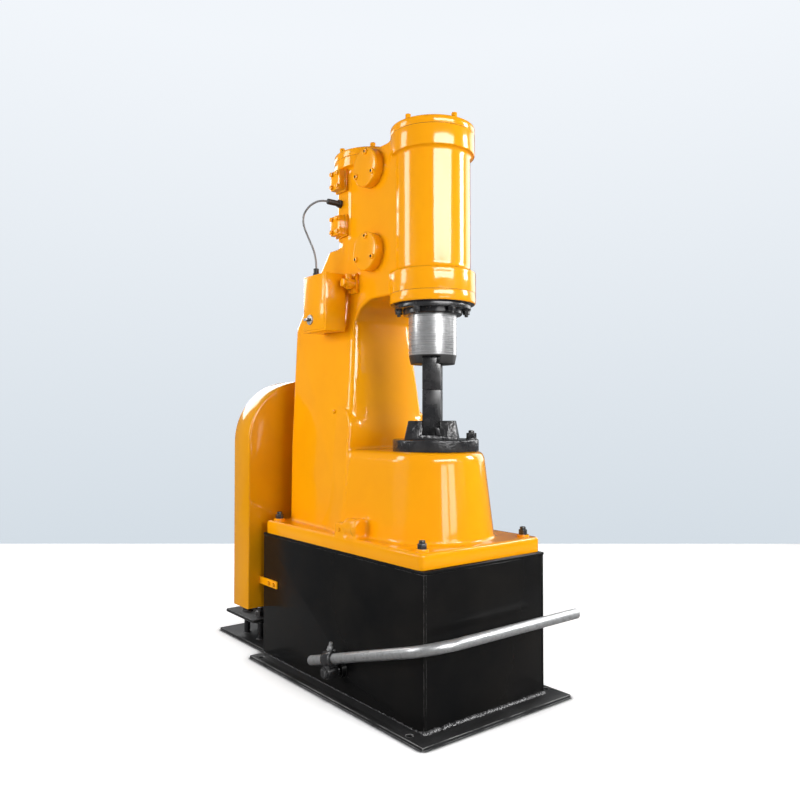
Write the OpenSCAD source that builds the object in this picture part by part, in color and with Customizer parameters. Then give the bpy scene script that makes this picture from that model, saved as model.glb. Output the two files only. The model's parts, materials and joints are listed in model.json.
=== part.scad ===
// Self-contained air power hammer on a welded base box
// X runs across the machine, Y from the ram at the front to the motor at the rear, Z up from the floor

/* [Floor plate] */
// Thickness of the floor plate
floor_t = 8; // [5:0.5:16]
// How far the floor plate stands out past each side wall
floor_side = 47.5; // [40:0.5:80]
// How far the floor plate stands out past the front wall
floor_front = 52; // [20:1:90]
// Diameter of the anchor holes
anchor_d = 18; // [12:1:24]
// Anchor hole centres from the plate's side edges
anchor_side = 19; // [15:0.5:26]
// Front anchor holes from the plate's front edge
anchor_front = 71; // [40:1:140]
// Rear anchor holes from the plate's rear edge
anchor_rear = 37; // [25:1:140]

/* [Base box] */
// Width of the welded base box
base_w = 425; // [424:1:470]
// Length of the base box, front to rear
base_l = 782; // [770:1:860]
// Height of the base walls
wall_h = 371; // [300:1:450]
// Thickness of the base walls
wall_t = 8; // [5:0.5:14]
// Thickness of the base's top plate
top_t = 8; // [5:0.5:16]
// Lip of the top plate outside the walls
top_lip = 1.5; // [0:0.5:6]

/* [Foot flange of the casting] */
// How far the foot flange stays inside each side of the base box
foot_side = 1.5; // [0:0.5:12]
// How far the foot flange stays inside each end of the base box
foot_inset = 11; // [4:1:20]
// Thickness of the foot flange
foot_t = 40; // [25:1:60]
// Corner radius of the foot flange
foot_r = 12; // [6:1:40]

/* [Anvil pedestal] */
// Ram axis in front of the base's centre
ram_ahead = 180; // [170:1:190]
// Height of the pedestal above the foot flange
pedestal_h = 233; // [200:1:260]
// Radius of the pedestal at the foot flange
pedestal_foot_r = 168; // [155:1:176]
// Radius of the pedestal under its rounded shoulder
pedestal_top_r = 142; // [132:1:150]
// Radius of the shoulder round the pedestal's top
pedestal_round = 20; // [8:1:22]

/* [Column] */
// Height of the column from the foot flange to the head
column_h = 663; // [640:1:720]
// Width of the column's front at the foot
column_foot_w = 332; // [310:1:344]
// How much each side of the column's foot draws in towards the rear
column_foot_taper = 26; // [16:1:36]
// Width of the column's front at the pedestal's top
column_waist_w = 290; // [280:1:300]
// How much each side of the column draws in towards the rear, at the pedestal's top
column_waist_taper = 8; // [6:1:14]
// How much each side of the column draws in from the pedestal's top to the head
column_top_taper = 46; // [42:1:50]
// Column front from the ram axis, at the foot
throat_foot = 168; // [160:1:180]
// Column front from the ram axis, at the pedestal's top
throat_waist = 191; // [184:1:198]
// Column front from the ram axis, under the head
throat_top = 230; // [220:1:240]
// Column's rear face inside the rear end of the base box
column_inset = 31; // [25:1:60]
// Radius of the column's upright edges
column_edge_r = 18; // [8:1:24]
// Radius of the throat's arch
arch_r = 85; // [60:1:95]
// Width of the column's rear where the sloped shoulder starts
shoulder_w = 238; // [228:1:244]
// Start of the shoulder under the head's underside
shoulder_drop = 56; // [30:1:80]
// Top of the shoulder above the head's underside
shoulder_h = 172; // [120:1:200]
// How far the crank case's front edge stands ahead of the column's front at the pedestal's top
crank_ahead = 2; // [1.5:0.5:8]
// Height of the crank case above the foot flange
crank_h = 353; // [330:1:380]
// How far the crank case's front edge stands out from the column
crank_out = 11; // [6:1:16]
// Radius of the crank case's top front corner
crank_r = 62; // [30:1:80]

/* [Head] */
// Outside radius of the ram cylinder's barrel
ram_barrel_r = 105; // [99:0.5:108]
// Outside radius of the compressor's barrel
barrel_r = 100; // [99:0.5:106]
// Distance between the ram and compressor axes
cylinder_pitch = 280; // [270:1:290]
// Width of the web between the barrels
web_w = 196; // [180:1:197]
// Height of the ram barrel under its top flange
barrel_h = 382; // [370:1:430]
// Height of the flange round the ram cylinder's top
head_flange_h = 57; // [40:1:80]
// Compressor's top under the ram cylinder's top
comp_drop = 5; // [0:1:8]
// Height of the flange round the compressor's top
comp_flange_h = 30; // [20:1:40]
// Radius of the ram cylinder's top flange
ram_flange_r = 117; // [112:1:120]
// Radius of the compressor's top flange
comp_flange_r = 117; // [110:1:119]
// Thickness of the cylinder caps
cap_t = 22; // [16:1:40]
// Height of the ram cylinder's lower flange
low_flange_h = 60; // [40:1:80]
// Radius of the ram cylinder's lower flange
low_flange_r = 119; // [112:1:124]
// Thickness of the guide ring bolted under the lower flange
ring_t = 30; // [20:1:36]
// Radius of the packing gland
gland_r = 82; // [76:1:90]
// Thickness of the packing gland
gland_t = 28; // [16:1:32]

/* [Ram and dies] */
// Radius of the ram
ram_r = 66; // [62:0.5:70]
// Length of the ram
ram_len = 392; // [360:1:410]
// Radius of the ram's chamfered toe at its end
toe_r = 61; // [58:0.5:61]
// Height of the ram's chamfered toe
toe_h = 24; // [22:1:40]
// Width of the dies
die_w = 50; // [44:1:60]
// Length of the dies
die_l = 100; // [90:1:104]
// Height of the upper die's body
upper_die_h = 71; // [60:1:80]
// Height of the lower die's body
lower_die_h = 102; // [90:1:112]
// Height of the dies' dovetail tails
tail_h = 20; // [14:1:21]
// Width of the dovetail where it leaves the die
tail_w = 34; // [28:1:38]
// How much wider each side of the dovetail is at its root
tail_flare = 4; // [2:0.5:5]
// Width of the wedges beside the dovetails
wedge_w = 9; // [6:0.5:10]
// Thickness of the round anvil plate
disc_t = 32; // [20:1:40]
// Radius of the round anvil plate
disc_r = 118; // [110:1:130]
// Anvil plate's centre in front of the ram axis
disc_ahead = 12; // [0:1:16]
// Height of the die holder
holder_h = 50; // [46:1:60]
// Width of the die holder at its foot
holder_foot_w = 144; // [136:1:150]
// Width of the die holder at its top
holder_top_w = 124; // [116:1:132]
// Depth of the open pocket over the holder's dovetail
pocket_d = 18; // [10:1:22]

/* [Covers and fittings] */
// Radius of the round valve covers
cover_r = 55; // [45:1:60]
// Thickness of the valve covers
cover_t = 28; // [16:1:36]
// Valve covers behind the ram axis
cover_back = 151; // [140:1:160]
// Height of the lower valve covers above the head's underside
low_cover_up = 132; // [110:1:150]
// Height of the upper valve covers above the head's underside
high_cover_up = 372; // [340:1:374]
// Reach of the port blocks from their pad
block_reach = 29; // [18:1:40]
// Height of the port blocks
block_h = 65; // [40:1:66]
// Length of the port blocks along the machine
block_l = 55; // [40:1:60]
// Depth of the control box
control_d = 72; // [50:1:90]
// Length of the control box along the machine
control_l = 121; // [110:1:140]
// Height of the control box
control_h = 168; // [150:1:180]
// Diameter of the control cable
cable_d = 6; // [4:0.5:8]

/* [Belt guard and motor] */
// Width of the belt guard
guard_w = 512; // [470:1:540]
// Depth of the belt guard
guard_d = 103; // [80:1:130]
// Height of the belt guard
guard_h = 726; // [680:1:780]
// Radius of the guard's top corners
guard_r = 200; // [120:1:230]
// Gap between the base box and the guard
guard_gap = 21; // [16:1:40]
// Guard's lower edge above the floor
guard_low = 145; // [130:1:160]
// Radius of the guard's front edge
guard_edge = 6; // [2:0.5:10]
// Length of the motor's floor plate
motor_plate_l = 346; // [340:1:380]
// How far each side of the motor's plates stays inside the base box
motor_plate_inset = 14.5; // [6:0.5:30]
// Thickness of the motor's lifting plate
lift_t = 10; // [6:0.5:16]
// Lifting plate's underside above the floor plate
lift_up = 66; // [40:1:70]
// Diameter of the lifting plate's studs
stud_d = 20; // [14:1:27]
// Radius of the motor's ribbed body
motor_r = 92; // [80:1:96]
// Height of the motor's shaft above its feet
motor_shaft_h = 100; // [98:1:112]
// Length of the motor's ribbed body
motor_l = 180; // [160:1:200]

/* [Treadle] */
// Outside diameter of the treadle pipe
pipe_d = 27; // [22:0.5:34]
// Wall thickness of the treadle pipe
pipe_t = 3; // [2:0.5:5]
// Pipe's side run outside the base wall
pipe_out = 37.5; // [32:0.5:60]
// Bend radius of the treadle pipe
pipe_bend = 90; // [60:1:110]
// Rise of the side run towards the front, in degrees
pipe_rise = 16.5; // [12:0.5:20]
// Length from the clamp to the front bar
pipe_reach = 431; // [420:1:470]
// Length of the pipe's tail behind the clamp
pipe_tail = 100; // [50:1:110]
// Length of the front bar past the machine's centre
bar_past = 258; // [200:1:300]
// Treadle shaft behind the ram axis
shaft_back = 129; // [110:1:150]
// Treadle shaft above the floor plate
shaft_up = 65; // [50:1:80]
// Diameter of the treadle shaft
shaft_d = 20; // [16:0.5:24]
// Pipe's axis above the shaft
pipe_lift = 33.5; // [28:0.5:38]

/* [Clearances] */
// Radial clearance round the ram
ram_clear = 0.4; // [0.3:0.05:0.8]
// Radial clearance round the treadle shaft
shaft_clear = 0.3; // [0.3:0.05:0.6]
// Gap left between the closed dies
die_gap = 0.5; // [0.4:0.1:2]

/* [Hidden] */
$fn = 64;
hull_fn = 32;
eps = 0.5;
thin = 1;

yellow = [0.96, 0.62, 0.07];
black_paint = [0.09, 0.09, 0.09];
dark_steel = [0.16, 0.15, 0.15];
bright_steel = [0.74, 0.75, 0.76];
galvanised = [0.66, 0.67, 0.68];
grey_cable = [0.42, 0.43, 0.44];
black_plastic = [0.06, 0.06, 0.06];

// Levels, from the floor up
wall_top = floor_t + wall_h;
base_top = wall_top + top_t;
foot_top = base_top + foot_t;
pedestal_top = foot_top + pedestal_h;
disc_top = pedestal_top + disc_t;
holder_top = disc_top + holder_h;
lower_die_foot = holder_top - pocket_d;
die_face = lower_die_foot + lower_die_h;
upper_die_foot = die_face + die_gap;
ram_foot = upper_die_foot + upper_die_h;
head_low = foot_top + column_h;
barrel_top = head_low + barrel_h;
flange_top = barrel_top + head_flange_h;
comp_top = flange_top - comp_drop;
ring_low = head_low - ring_t;

// Places along the machine
ram_y = -ram_ahead;
comp_y = ram_y + cylinder_pitch;
column_rear = base_l / 2 - column_inset;
foot_w = base_w - 2 * foot_side;
foot_l = base_l - 2 * foot_inset;
arch_front = ram_y + throat_top - arch_r;
die_turn = -45;

// Ram bore, right through the casting and closed by the ram cap
bore_r = ram_r + ram_clear;

// Web's top stays under the cylinder flanges' top
web_step = 11;
web_top = flange_top - web_step;
web_x = web_w / 2;

// Shoulder that slopes from the column's rear up to the compressor barrel
shoulder_x = web_x - 1;
shoulder_sink = 10;
shoulder_rear = comp_y + barrel_r + 4;
shoulder_low = head_low - shoulder_drop;
shoulder_top = head_low + shoulder_h;
shoulder_part = shoulder_drop / (shoulder_drop + shoulder_h);
shoulder_mid_y = column_rear - shoulder_part * (column_rear - shoulder_rear);
shoulder_mid_x = shoulder_w / 2 - shoulder_part * (shoulder_w / 2 - shoulder_x);

// Crank case that stands out from the column's sides and runs back into them
crank_y = ram_y + throat_waist - crank_ahead;
crank_top = foot_top + crank_h;
crank_run = 138;
crank_sink = 2;

// Pads for the port blocks and the control box
port_pad_proud = 1;
port_pad_x = barrel_r + port_pad_proud;
port_pad_l = 60;
port_pad_ahead = 18;
port_pad_past = 7;
block_back = 14;
high_block_up = 369;
low_block_up = 233;
block_y = comp_y + block_back;
high_block_z = head_low + high_block_up;
low_block_z = head_low + low_block_up;
cable_gland_r = 8.5;
control_pad_reach = 1;
control_ahead = 28;
control_down = 86.5;
control_y = comp_y - control_ahead;
control_z = head_low - control_down;
control_pad_x = shoulder_w / 2 + control_pad_reach;
pad_inset = 14;

// Air cock's pad on the web, ahead of the compressor barrel
cock_ahead = 50;
cock_up = 52;
cock_w = 36;
cock_h = 58;
cock_y = comp_y - cock_ahead;
cock_z = head_low + cock_up;

// Rear bearing between the column and the belt guard
bearing_up = 244;
bearing_z = foot_top + bearing_up;
bearing_r = 92;
bearing_nose_r = 70;
bearing_flange_t = 18;
guard_y = base_l / 2 + guard_gap;
guard_back = guard_y + guard_d;

// Motor behind the guard
plate_rear = base_l / 2 + motor_plate_l;
lift_low = floor_t + lift_up;
lift_top = lift_low + lift_t;
motor_plate_w = base_w - 2 * motor_plate_inset;
lift_back = 80;
lift_inset = 47;
lift_front = guard_y + lift_back;
lift_rear = plate_rear - lift_inset;
motor_z = lift_top + motor_shaft_h;
motor_neck = 16;
motor_bell_l = 32;
motor_fan_l = 56;
motor_front = guard_back + motor_neck;
motor_body_y = motor_front + motor_bell_l;
motor_fan_y = motor_body_y + motor_l;
fin_count = 36;
fin_h = 8;
fin_w = 4;
terminal_w = 86;
terminal_l = 86;
terminal_back = 20;
terminal_pad = 6;

// Treadle pivot and the pipe that it carries
shaft_y = ram_y + shaft_back;
shaft_z = floor_t + shaft_up;
pipe_x = -(base_w / 2 + pipe_out);
pipe_z = shaft_z + pipe_lift;
boss_reach = 14;
boss_wall = 12;
clamp_w = 30;
clamp_l = 38;
clamp_wall = 8;
clamp_lug = 9;
slot_w = 3;
shaft_end = 4;
shaft_inside = 30;

// Cable from the compressor's gland to the control box: sideways from the machine's centre,
// back from the compressor's axis and up from the head's underside
cable_steps = [
    [-148, 25, 305], [-157, 26, 305], [-166, 30, 304.5], [-173, 37, 303.5], [-178.5, 46, 301],
    [-183.5, 55, 297], [-188, 63, 291.5], [-192, 69.5, 284], [-196, 75, 275], [-199, 78, 264],
    [-200, 79, 251.5], [-199.5, 78, 239], [-197, 75.5, 226], [-193.5, 71.5, 212.5], [-189, 67.5, 198],
    [-184, 63.5, 183], [-178.5, 60, 168], [-174, 57.5, 152.5], [-171, 56, 136], [-169.5, 55, 120],
    [-169, 55, 105]
];
cable_route = [for (p = cable_steps) [p[0], comp_y + p[1], head_low + p[2]]];
cable_start = cable_route[0];
cable_end = cable_route[len(cable_route) - 1];
cable_sides = 8;

// Flat plate with round corners, centred on its length and width
module rounded_plate(w, l, t, r) {
    linear_extrude(t) {
        square([w - 2 * r, l], center = true);
        square([w, l - 2 * r], center = true);
        for (sx = [-1, 1], sy = [-1, 1])
            translate([sx * (w / 2 - r), sy * (l / 2 - r)])
                circle(r);
    }
}

// Upright outline with two round top corners, drawn from its foot
module arched_outline(w, h, r) {
    translate([-w / 2, 0])
        square([w, h - r]);
    translate([-w / 2 + r, 0])
        square([w - 2 * r, h]);
    for (sx = [-1, 1])
        translate([sx * (w / 2 - r), h - r])
            circle(r);
}

// Thin round post at one corner of a column section
module corner_post(x, y, z) {
    translate([x, y, z])
        cylinder(h = thin, r = column_edge_r, $fn = hull_fn);
}

// Four corner posts that bound one level section of the column
module column_section(front_x, rear_x, front_y, rear_y, z) {
    r = column_edge_r;
    for (s = [-1, 1]) {
        corner_post(s * (front_x - r), front_y + r, z);
        corner_post(s * (rear_x - r), rear_y - r, z);
    }
}

// Places a piece on a round axis that runs out sideways
module sideways(x, y, z, side) {
    translate([x, y, z])
        rotate([0, side * 90, 0])
            children();
}

// Floor plate and welded base box

module floor_plate() {
    w = base_w + 2 * floor_side;
    l = base_l + floor_front;
    front = -base_l / 2 - floor_front;
    color(black_paint)
        difference() {
            translate([-w / 2, front, 0])
                cube([w, l, floor_t]);
            for (s = [-1, 1], y = [front + anchor_front, base_l / 2 - anchor_rear])
                translate([s * (w / 2 - anchor_side), y, -eps])
                    cylinder(h = floor_t + 2 * eps, d = anchor_d);
        }
}

module side_wall(side) {
    x = side > 0 ? base_w / 2 - wall_t : -base_w / 2;
    translate([x, -base_l / 2, floor_t])
        cube([wall_t, base_l, wall_h]);
}

module end_wall(side) {
    w = base_w - 2 * wall_t;
    y = side > 0 ? base_l / 2 - wall_t : -base_l / 2;
    translate([-w / 2, y, floor_t])
        cube([w, wall_t, wall_h]);
}

module base_front_wall() {
    color(black_paint)
        end_wall(-1);
}

module base_rear_wall() {
    color(black_paint)
        end_wall(1);
}

module base_right_wall() {
    color(black_paint)
        side_wall(1);
}

// The left wall carries the welded bearing boss of the treadle shaft
module base_left_wall() {
    hole_r = shaft_d / 2 + shaft_clear;
    color(black_paint)
        difference() {
            union() {
                side_wall(-1);
                sideways(-base_w / 2 + eps, shaft_y, shaft_z, -1)
                    cylinder(h = boss_reach + eps, r = hole_r + boss_wall);
            }
            sideways(-base_w / 2 + wall_t + eps, shaft_y, shaft_z, -1)
                cylinder(h = wall_t + boss_reach + 2 * eps, r = hole_r);
        }
}

module base_top_plate() {
    color(black_paint)
        translate([0, 0, wall_top])
            rounded_plate(base_w + 2 * top_lip, base_l + 2 * top_lip, top_t, top_lip + 1);
}

// One-piece frame casting: foot, pedestal, column, throat and head

// One level of the pedestal: its round front and the two posts of its neck
module pedestal_section(round_r, neck_x, z) {
    r = column_edge_r;
    translate([0, ram_y, z])
        cylinder(h = thin, r = round_r, $fn = 96);
    for (s = [-1, 1])
        corner_post(s * (neck_x - r), crank_y + r, z);
}

// Pedestal with flat flanks, drawn in over a rounded shoulder
module pedestal_body() {
    foot_x = crank_side(foot_top) - crank_sink;
    top_x = crank_side(pedestal_top) - crank_sink;
    side = pedestal_h - pedestal_round;
    in_1 = pedestal_round * (1 - cos(45));
    up_1 = pedestal_round * sin(45);
    hull() {
        pedestal_section(pedestal_foot_r, foot_x, foot_top - eps);
        pedestal_section(pedestal_top_r, top_x, foot_top + side - thin);
    }
    hull() {
        pedestal_section(pedestal_top_r, top_x, foot_top + side - thin);
        pedestal_section(pedestal_top_r - in_1, top_x - in_1, foot_top + side + up_1 - thin);
    }
    hull() {
        pedestal_section(pedestal_top_r - in_1, top_x - in_1, foot_top + side + up_1 - thin);
        pedestal_section(pedestal_top_r - pedestal_round, top_x - pedestal_round, pedestal_top - thin);
    }
}

// Half width of the column's front at one level, the place of that front along the machine,
// and the half width of the crank case
function level_part(z, low, high) = (z - low) / (high - low);
function front_side(z) = z < pedestal_top
    ? column_foot_w / 2 + (column_waist_w - column_foot_w) / 2 * level_part(z, foot_top, pedestal_top)
    : column_waist_w / 2 - column_top_taper * level_part(z, pedestal_top, head_low);
function front_edge(z) = ram_y + throat_waist
    + (throat_top - throat_waist) * level_part(z, pedestal_top, head_low);
function crank_side(z) = front_side(z) + crank_out;

module column_body() {
    foot_x = front_side(foot_top);
    waist_x = front_side(pedestal_top);
    top_x = front_side(head_low);
    hull() {
        column_section(foot_x, foot_x - column_foot_taper, ram_y + throat_foot, column_rear, foot_top - eps);
        column_section(waist_x, waist_x - column_waist_taper, ram_y + throat_waist, column_rear,
                       pedestal_top);
        column_section(front_side(shoulder_low), shoulder_w / 2, front_edge(shoulder_low), column_rear,
                       shoulder_low);
        column_section(top_x, shoulder_mid_x, ram_y + throat_top, shoulder_mid_y, head_low);
    }
    hull() {
        column_section(top_x, shoulder_mid_x, ram_y + throat_top, shoulder_mid_y, head_low);
        column_section(shoulder_x, shoulder_x, ram_y + throat_top, shoulder_rear, shoulder_top);
    }
}

// Level bar of the crank case across the column
module crank_bar(x, y, z) {
    translate([-x, y, z])
        cube([2 * x, thin, thin]);
}

module crank_case() {
    rear = crank_y + crank_run;
    foot_rear_x = front_side(foot_top) - crank_out;
    top_rear_x = front_side(crank_top) - crank_sink;
    reach = crank_side(foot_top);
    intersection() {
        hull() {
            crank_bar(crank_side(foot_top), crank_y, foot_top - eps);
            crank_bar(crank_side(crank_top), crank_y, crank_top);
            crank_bar(foot_rear_x, rear, foot_top - eps);
            crank_bar(top_rear_x, rear, crank_top);
        }
        translate([reach, crank_y, foot_top - eps])
            rotate([90, 0, -90])
                linear_extrude(2 * reach) {
                    translate([-2 * crank_run, 0])
                        square([2 * crank_run, crank_h - crank_r]);
                    translate([-2 * crank_run, 0])
                        square([2 * crank_run - crank_r, crank_h]);
                    translate([-crank_r, crank_h - crank_r])
                        circle(crank_r);
                }
    }
}

// Fillet that carries the column's front round into the head's underside
module throat_arch() {
    draft = atan(column_top_taper / (head_low - pedestal_top));
    low = head_low - arch_r;
    difference() {
        translate([-base_w / 4, arch_front, low])
            cube([base_w / 2, arch_r + column_edge_r, arch_r + shoulder_sink]);
        translate([-base_w / 2, arch_front, low])
            rotate([0, 90, 0])
                cylinder(h = base_w, r = arch_r, $fn = 96);
        for (s = [-1, 1])
            translate([s * web_x, arch_front - eps, head_low])
                rotate([0, -s * draft, 0])
                    translate([s > 0 ? 0 : -base_w, 0, -2 * arch_r])
                        cube([base_w, arch_r + 2 * column_edge_r, 4 * arch_r]);
    }
}

module head_body() {
    translate([-web_x, ram_y, head_low])
        cube([web_w, cylinder_pitch, web_top - head_low]);
    translate([0, ram_y, head_low])
        cylinder(h = flange_top - head_low, r = ram_barrel_r, $fn = 96);
    translate([0, comp_y, head_low])
        cylinder(h = comp_top - head_low, r = barrel_r, $fn = 96);
    translate([0, ram_y, barrel_top])
        cylinder(h = head_flange_h, r = ram_flange_r, $fn = 96);
    translate([0, comp_y, comp_top - comp_flange_h])
        cylinder(h = comp_flange_h, r = comp_flange_r, $fn = 96);
    translate([0, ram_y, head_low])
        cylinder(h = low_flange_h, r = low_flange_r, $fn = 96);
}

// Machined pads that the port blocks, the air cock and the control box sit on
module casting_pads() {
    port_pad_low = low_block_z - block_h / 2 - port_pad_past;
    port_pad_top = high_block_z + block_h / 2 + port_pad_past;
    translate([-port_pad_x, comp_y - port_pad_ahead, port_pad_low])
        cube([port_pad_x, port_pad_l, port_pad_top - port_pad_low]);
    translate([-control_pad_x, control_y + pad_inset, control_z + pad_inset])
        cube([control_pad_x, control_l - 2 * pad_inset, control_h - 2 * pad_inset]);
    translate([-port_pad_x, cock_y - cock_w / 2, cock_z - cock_h / 2])
        cube([port_pad_x, cock_w, cock_h]);
}

// Cast bearing tube of the valve linkage on its saddle, with its collar and end lug
module linkage_boss() {
    tube_r = 24;
    collar_r = 27;
    collar_l = 16;
    tube_l = 61;
    axis_up = 26;
    lug_l = 45;
    lug_lap = 9;
    lug_h = 36;
    lug_w = 44;
    boss_back = 75;
    edge_inset = 25;
    saddle_w = 34;
    boss_x = -foot_w / 2 + edge_inset;
    translate([boss_x, ram_y + boss_back, foot_top]) {
        translate([0, 0, axis_up])
            rotate([-90, 0, 0]) {
                cylinder(h = collar_l, r = collar_r);
                cylinder(h = tube_l, r = tube_r);
            }
        translate([-saddle_w / 2, 0, -eps])
            cube([saddle_w, tube_l, axis_up + eps]);
        translate([-lug_w / 2, tube_l - lug_lap, -eps])
            cube([lug_w, lug_l, lug_h + eps]);
    }
}

module frame_casting() {
    color(yellow)
        difference() {
            union() {
                translate([0, 0, base_top])
                    rounded_plate(foot_w, foot_l, foot_t, foot_r);
                pedestal_body();
                column_body();
                crank_case();
                throat_arch();
                head_body();
                casting_pads();
                linkage_boss();
            }
            translate([0, ram_y, head_low - 4 * eps])
                cylinder(h = flange_top - head_low + 8 * eps, r = bore_r);
        }
}

// Caps on the two cylinders, each with a turned step and a chamfered rim
module cylinder_cap(r, y, z) {
    rim = 3;
    crown_inset = 34;
    crown_r = r - crown_inset;
    crown_h = 4;
    translate([0, y, z])
        rotate_extrude($fn = 96)
            polygon([[0, 0], [r, 0], [r, cap_t - rim], [r - rim, cap_t], [crown_r + crown_h, cap_t],
                     [crown_r, cap_t + crown_h], [0, cap_t + crown_h]]);
}

module ram_cap() {
    color(yellow)
        cylinder_cap(ram_flange_r, ram_y, flange_top);
}

module compressor_cap() {
    color(yellow)
        cylinder_cap(comp_flange_r, comp_y, comp_top);
}

// Ring round the ram, turned as one profile
ring_chamfer = 4;
gland_chamfer = 3;

module turned_ring(outer, height, chamfer, low) {
    translate([0, ram_y, low])
        rotate_extrude($fn = 96)
            polygon([[bore_r, 0], [outer - chamfer, 0], [outer, chamfer], [outer, height], [bore_r, height]]);
}

module guide_ring() {
    color(yellow)
        turned_ring(low_flange_r, ring_t, ring_chamfer, ring_low);
}

module packing_gland() {
    color(dark_steel)
        turned_ring(gland_r, gland_t, gland_chamfer, ring_low - gland_t);
}

// Ram with its dovetail slot, the dies, their wedges and the die holder

// Places a piece on the ram axis, turned with the dies
module die_frame(z) {
    translate([0, ram_y, z])
        rotate([0, 0, die_turn])
            children();
}

// Long bar with the given section, lying along the dies' length
module die_bar(length) {
    translate([0, length / 2, 0])
        rotate([90, 0, 0])
            linear_extrude(length)
                children();
}

tail_half = tail_w / 2;
tail_shift = -wedge_w / 2;
upper_wedge_past = 2;
lower_wedge_past = 14;

// Dovetail tail, widest at its far end
module tail_section() {
    translate([tail_shift, 0])
        polygon([[-tail_half, 0], [tail_half, 0], [tail_half + tail_flare, tail_h],
                 [-tail_half - tail_flare, tail_h]]);
}

module wedge_section() {
    translate([tail_shift + tail_half, 0])
        polygon([[0, 0], [wedge_w, 0], [wedge_w + tail_flare, tail_h], [tail_flare, tail_h]]);
}

module ram() {
    slot_l = 2 * ram_r + 2 * eps;
    color(bright_steel)
        difference() {
            union() {
                translate([0, ram_y, ram_foot])
                    cylinder(h = toe_h, r1 = toe_r, r2 = ram_r);
                translate([0, ram_y, ram_foot + toe_h])
                    cylinder(h = ram_len - toe_h, r = ram_r);
            }
            die_frame(ram_foot)
                die_bar(slot_l) {
                    tail_section();
                    wedge_section();
                }
        }
}

module upper_die() {
    color(dark_steel)
        die_frame(upper_die_foot) {
            translate([-die_w / 2, -die_l / 2, 0])
                cube([die_w, die_l, upper_die_h]);
            translate([0, 0, upper_die_h])
                die_bar(die_l)
                    tail_section();
        }
}

module upper_wedge() {
    color(dark_steel)
        die_frame(ram_foot)
            die_bar(die_l + upper_wedge_past)
                wedge_section();
}

module lower_die() {
    color(dark_steel)
        die_frame(lower_die_foot) {
            translate([-die_w / 2, -die_l / 2, 0])
                cube([die_w, die_l, lower_die_h]);
            mirror([0, 0, 1])
                die_bar(die_l)
                    tail_section();
        }
}

module lower_wedge() {
    color(dark_steel)
        die_frame(lower_die_foot)
            mirror([0, 0, 1])
                die_bar(holder_foot_w + lower_wedge_past)
                    wedge_section();
}

module die_holder() {
    diagonal = sqrt(2) / 2;
    foot_corner = holder_foot_w * diagonal;
    top_corner = holder_top_w * diagonal;
    slot_l = 2 * holder_foot_w;
    color(black_paint)
        die_frame(0)
            difference() {
                translate([0, 0, disc_top])
                    rotate([0, 0, 45])
                        cylinder(h = holder_h, r1 = foot_corner, r2 = top_corner, $fn = 4);
                translate([-die_w / 2, -slot_l / 2, lower_die_foot])
                    cube([die_w, slot_l, pocket_d + eps]);
                translate([0, 0, lower_die_foot])
                    mirror([0, 0, 1])
                        die_bar(slot_l) {
                            tail_section();
                            wedge_section();
                        }
            }
}

module anvil_plate() {
    rim = 3;
    color(black_paint)
        translate([0, ram_y - disc_ahead, pedestal_top])
            rotate_extrude($fn = 96)
                polygon([[0, 0], [disc_r, 0], [disc_r, disc_t - rim], [disc_r - rim, disc_t], [0, disc_t]]);
}

// Covers, port blocks and small fittings on the casting

module valve_cover(side, up) {
    rim = 3;
    color(yellow)
        sideways(side * web_x, ram_y + cover_back, head_low + up, side)
            rotate_extrude()
                polygon([[0, 0], [cover_r, 0], [cover_r, cover_t - rim], [cover_r - rim, cover_t],
                         [0, cover_t]]);
}

module valve_cover_low_left() {
    valve_cover(-1, low_cover_up);
}

module valve_cover_high_left() {
    valve_cover(-1, high_cover_up);
}

module valve_cover_low_right() {
    valve_cover(1, low_cover_up);
}

module valve_cover_high_right() {
    valve_cover(1, high_cover_up);
}

// Port block with a stepped foot against its pad
module port_block(z) {
    foot_reach = 9;
    foot_extra = 4;
    color(yellow)
        translate([-port_pad_x, block_y, z]) {
            translate([-foot_reach, -block_l / 2, -block_h / 2])
                cube([foot_reach, block_l, block_h]);
            translate([-block_reach, -block_l / 2 + foot_extra, -block_h / 2 + foot_extra])
                cube([block_reach - foot_reach + eps, block_l - 2 * foot_extra, block_h - 2 * foot_extra]);
        }
}

module port_block_low() {
    port_block(low_block_z);
}

module port_block_high() {
    port_block(high_block_z);
}

// Small air cock on the head's side: flange, round body and outlet
module air_cock() {
    flange_t = 8;
    body_r = 15;
    body_l = 34;
    stem_r = 9;
    stem_h = 34;
    color(yellow) {
        translate([-port_pad_x - flange_t, cock_y - cock_w / 2, cock_z - cock_h / 2])
            cube([flange_t, cock_w, cock_h]);
        sideways(-port_pad_x - flange_t + eps, cock_y, cock_z, -1)
            cylinder(h = body_l - flange_t, r = body_r);
        translate([-port_pad_x - flange_t - body_r, cock_y, cock_z - stem_h / 2])
            cylinder(h = stem_h + body_r / 2, r = stem_r);
    }
}

// Control box with its raised door, the switch and the cable glands

module control_box() {
    door_t = 3;
    door_inset = 5;
    body_d = control_d - door_t;
    color(yellow)
        translate([-control_pad_x, control_y, control_z]) {
            translate([-body_d, 0, 0])
                cube([body_d, control_l, control_h]);
            translate([-control_d, door_inset, door_inset])
                cube([door_t + eps, control_l - 2 * door_inset, control_h - 2 * door_inset]);
        }
}

module control_switch() {
    bezel_r = 15;
    bezel_t = 4;
    knob_r = 11;
    knob_l = 13;
    grip_w = 7;
    switch_back = 78;
    switch_up = 36;
    color(bright_steel)
        sideways(-control_pad_x - control_d, control_y + switch_back, control_z + switch_up, -1)
            difference() {
                union() {
                    cylinder(h = bezel_t, r = bezel_r);
                    cylinder(h = bezel_t + knob_l, r = knob_r);
                }
                for (s = [-1, 1])
                    translate([s * (grip_w / 2 + knob_r) - knob_r, -bezel_r, bezel_t])
                        cube([2 * knob_r, 2 * bezel_r, knob_l + eps]);
            }
}

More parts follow.
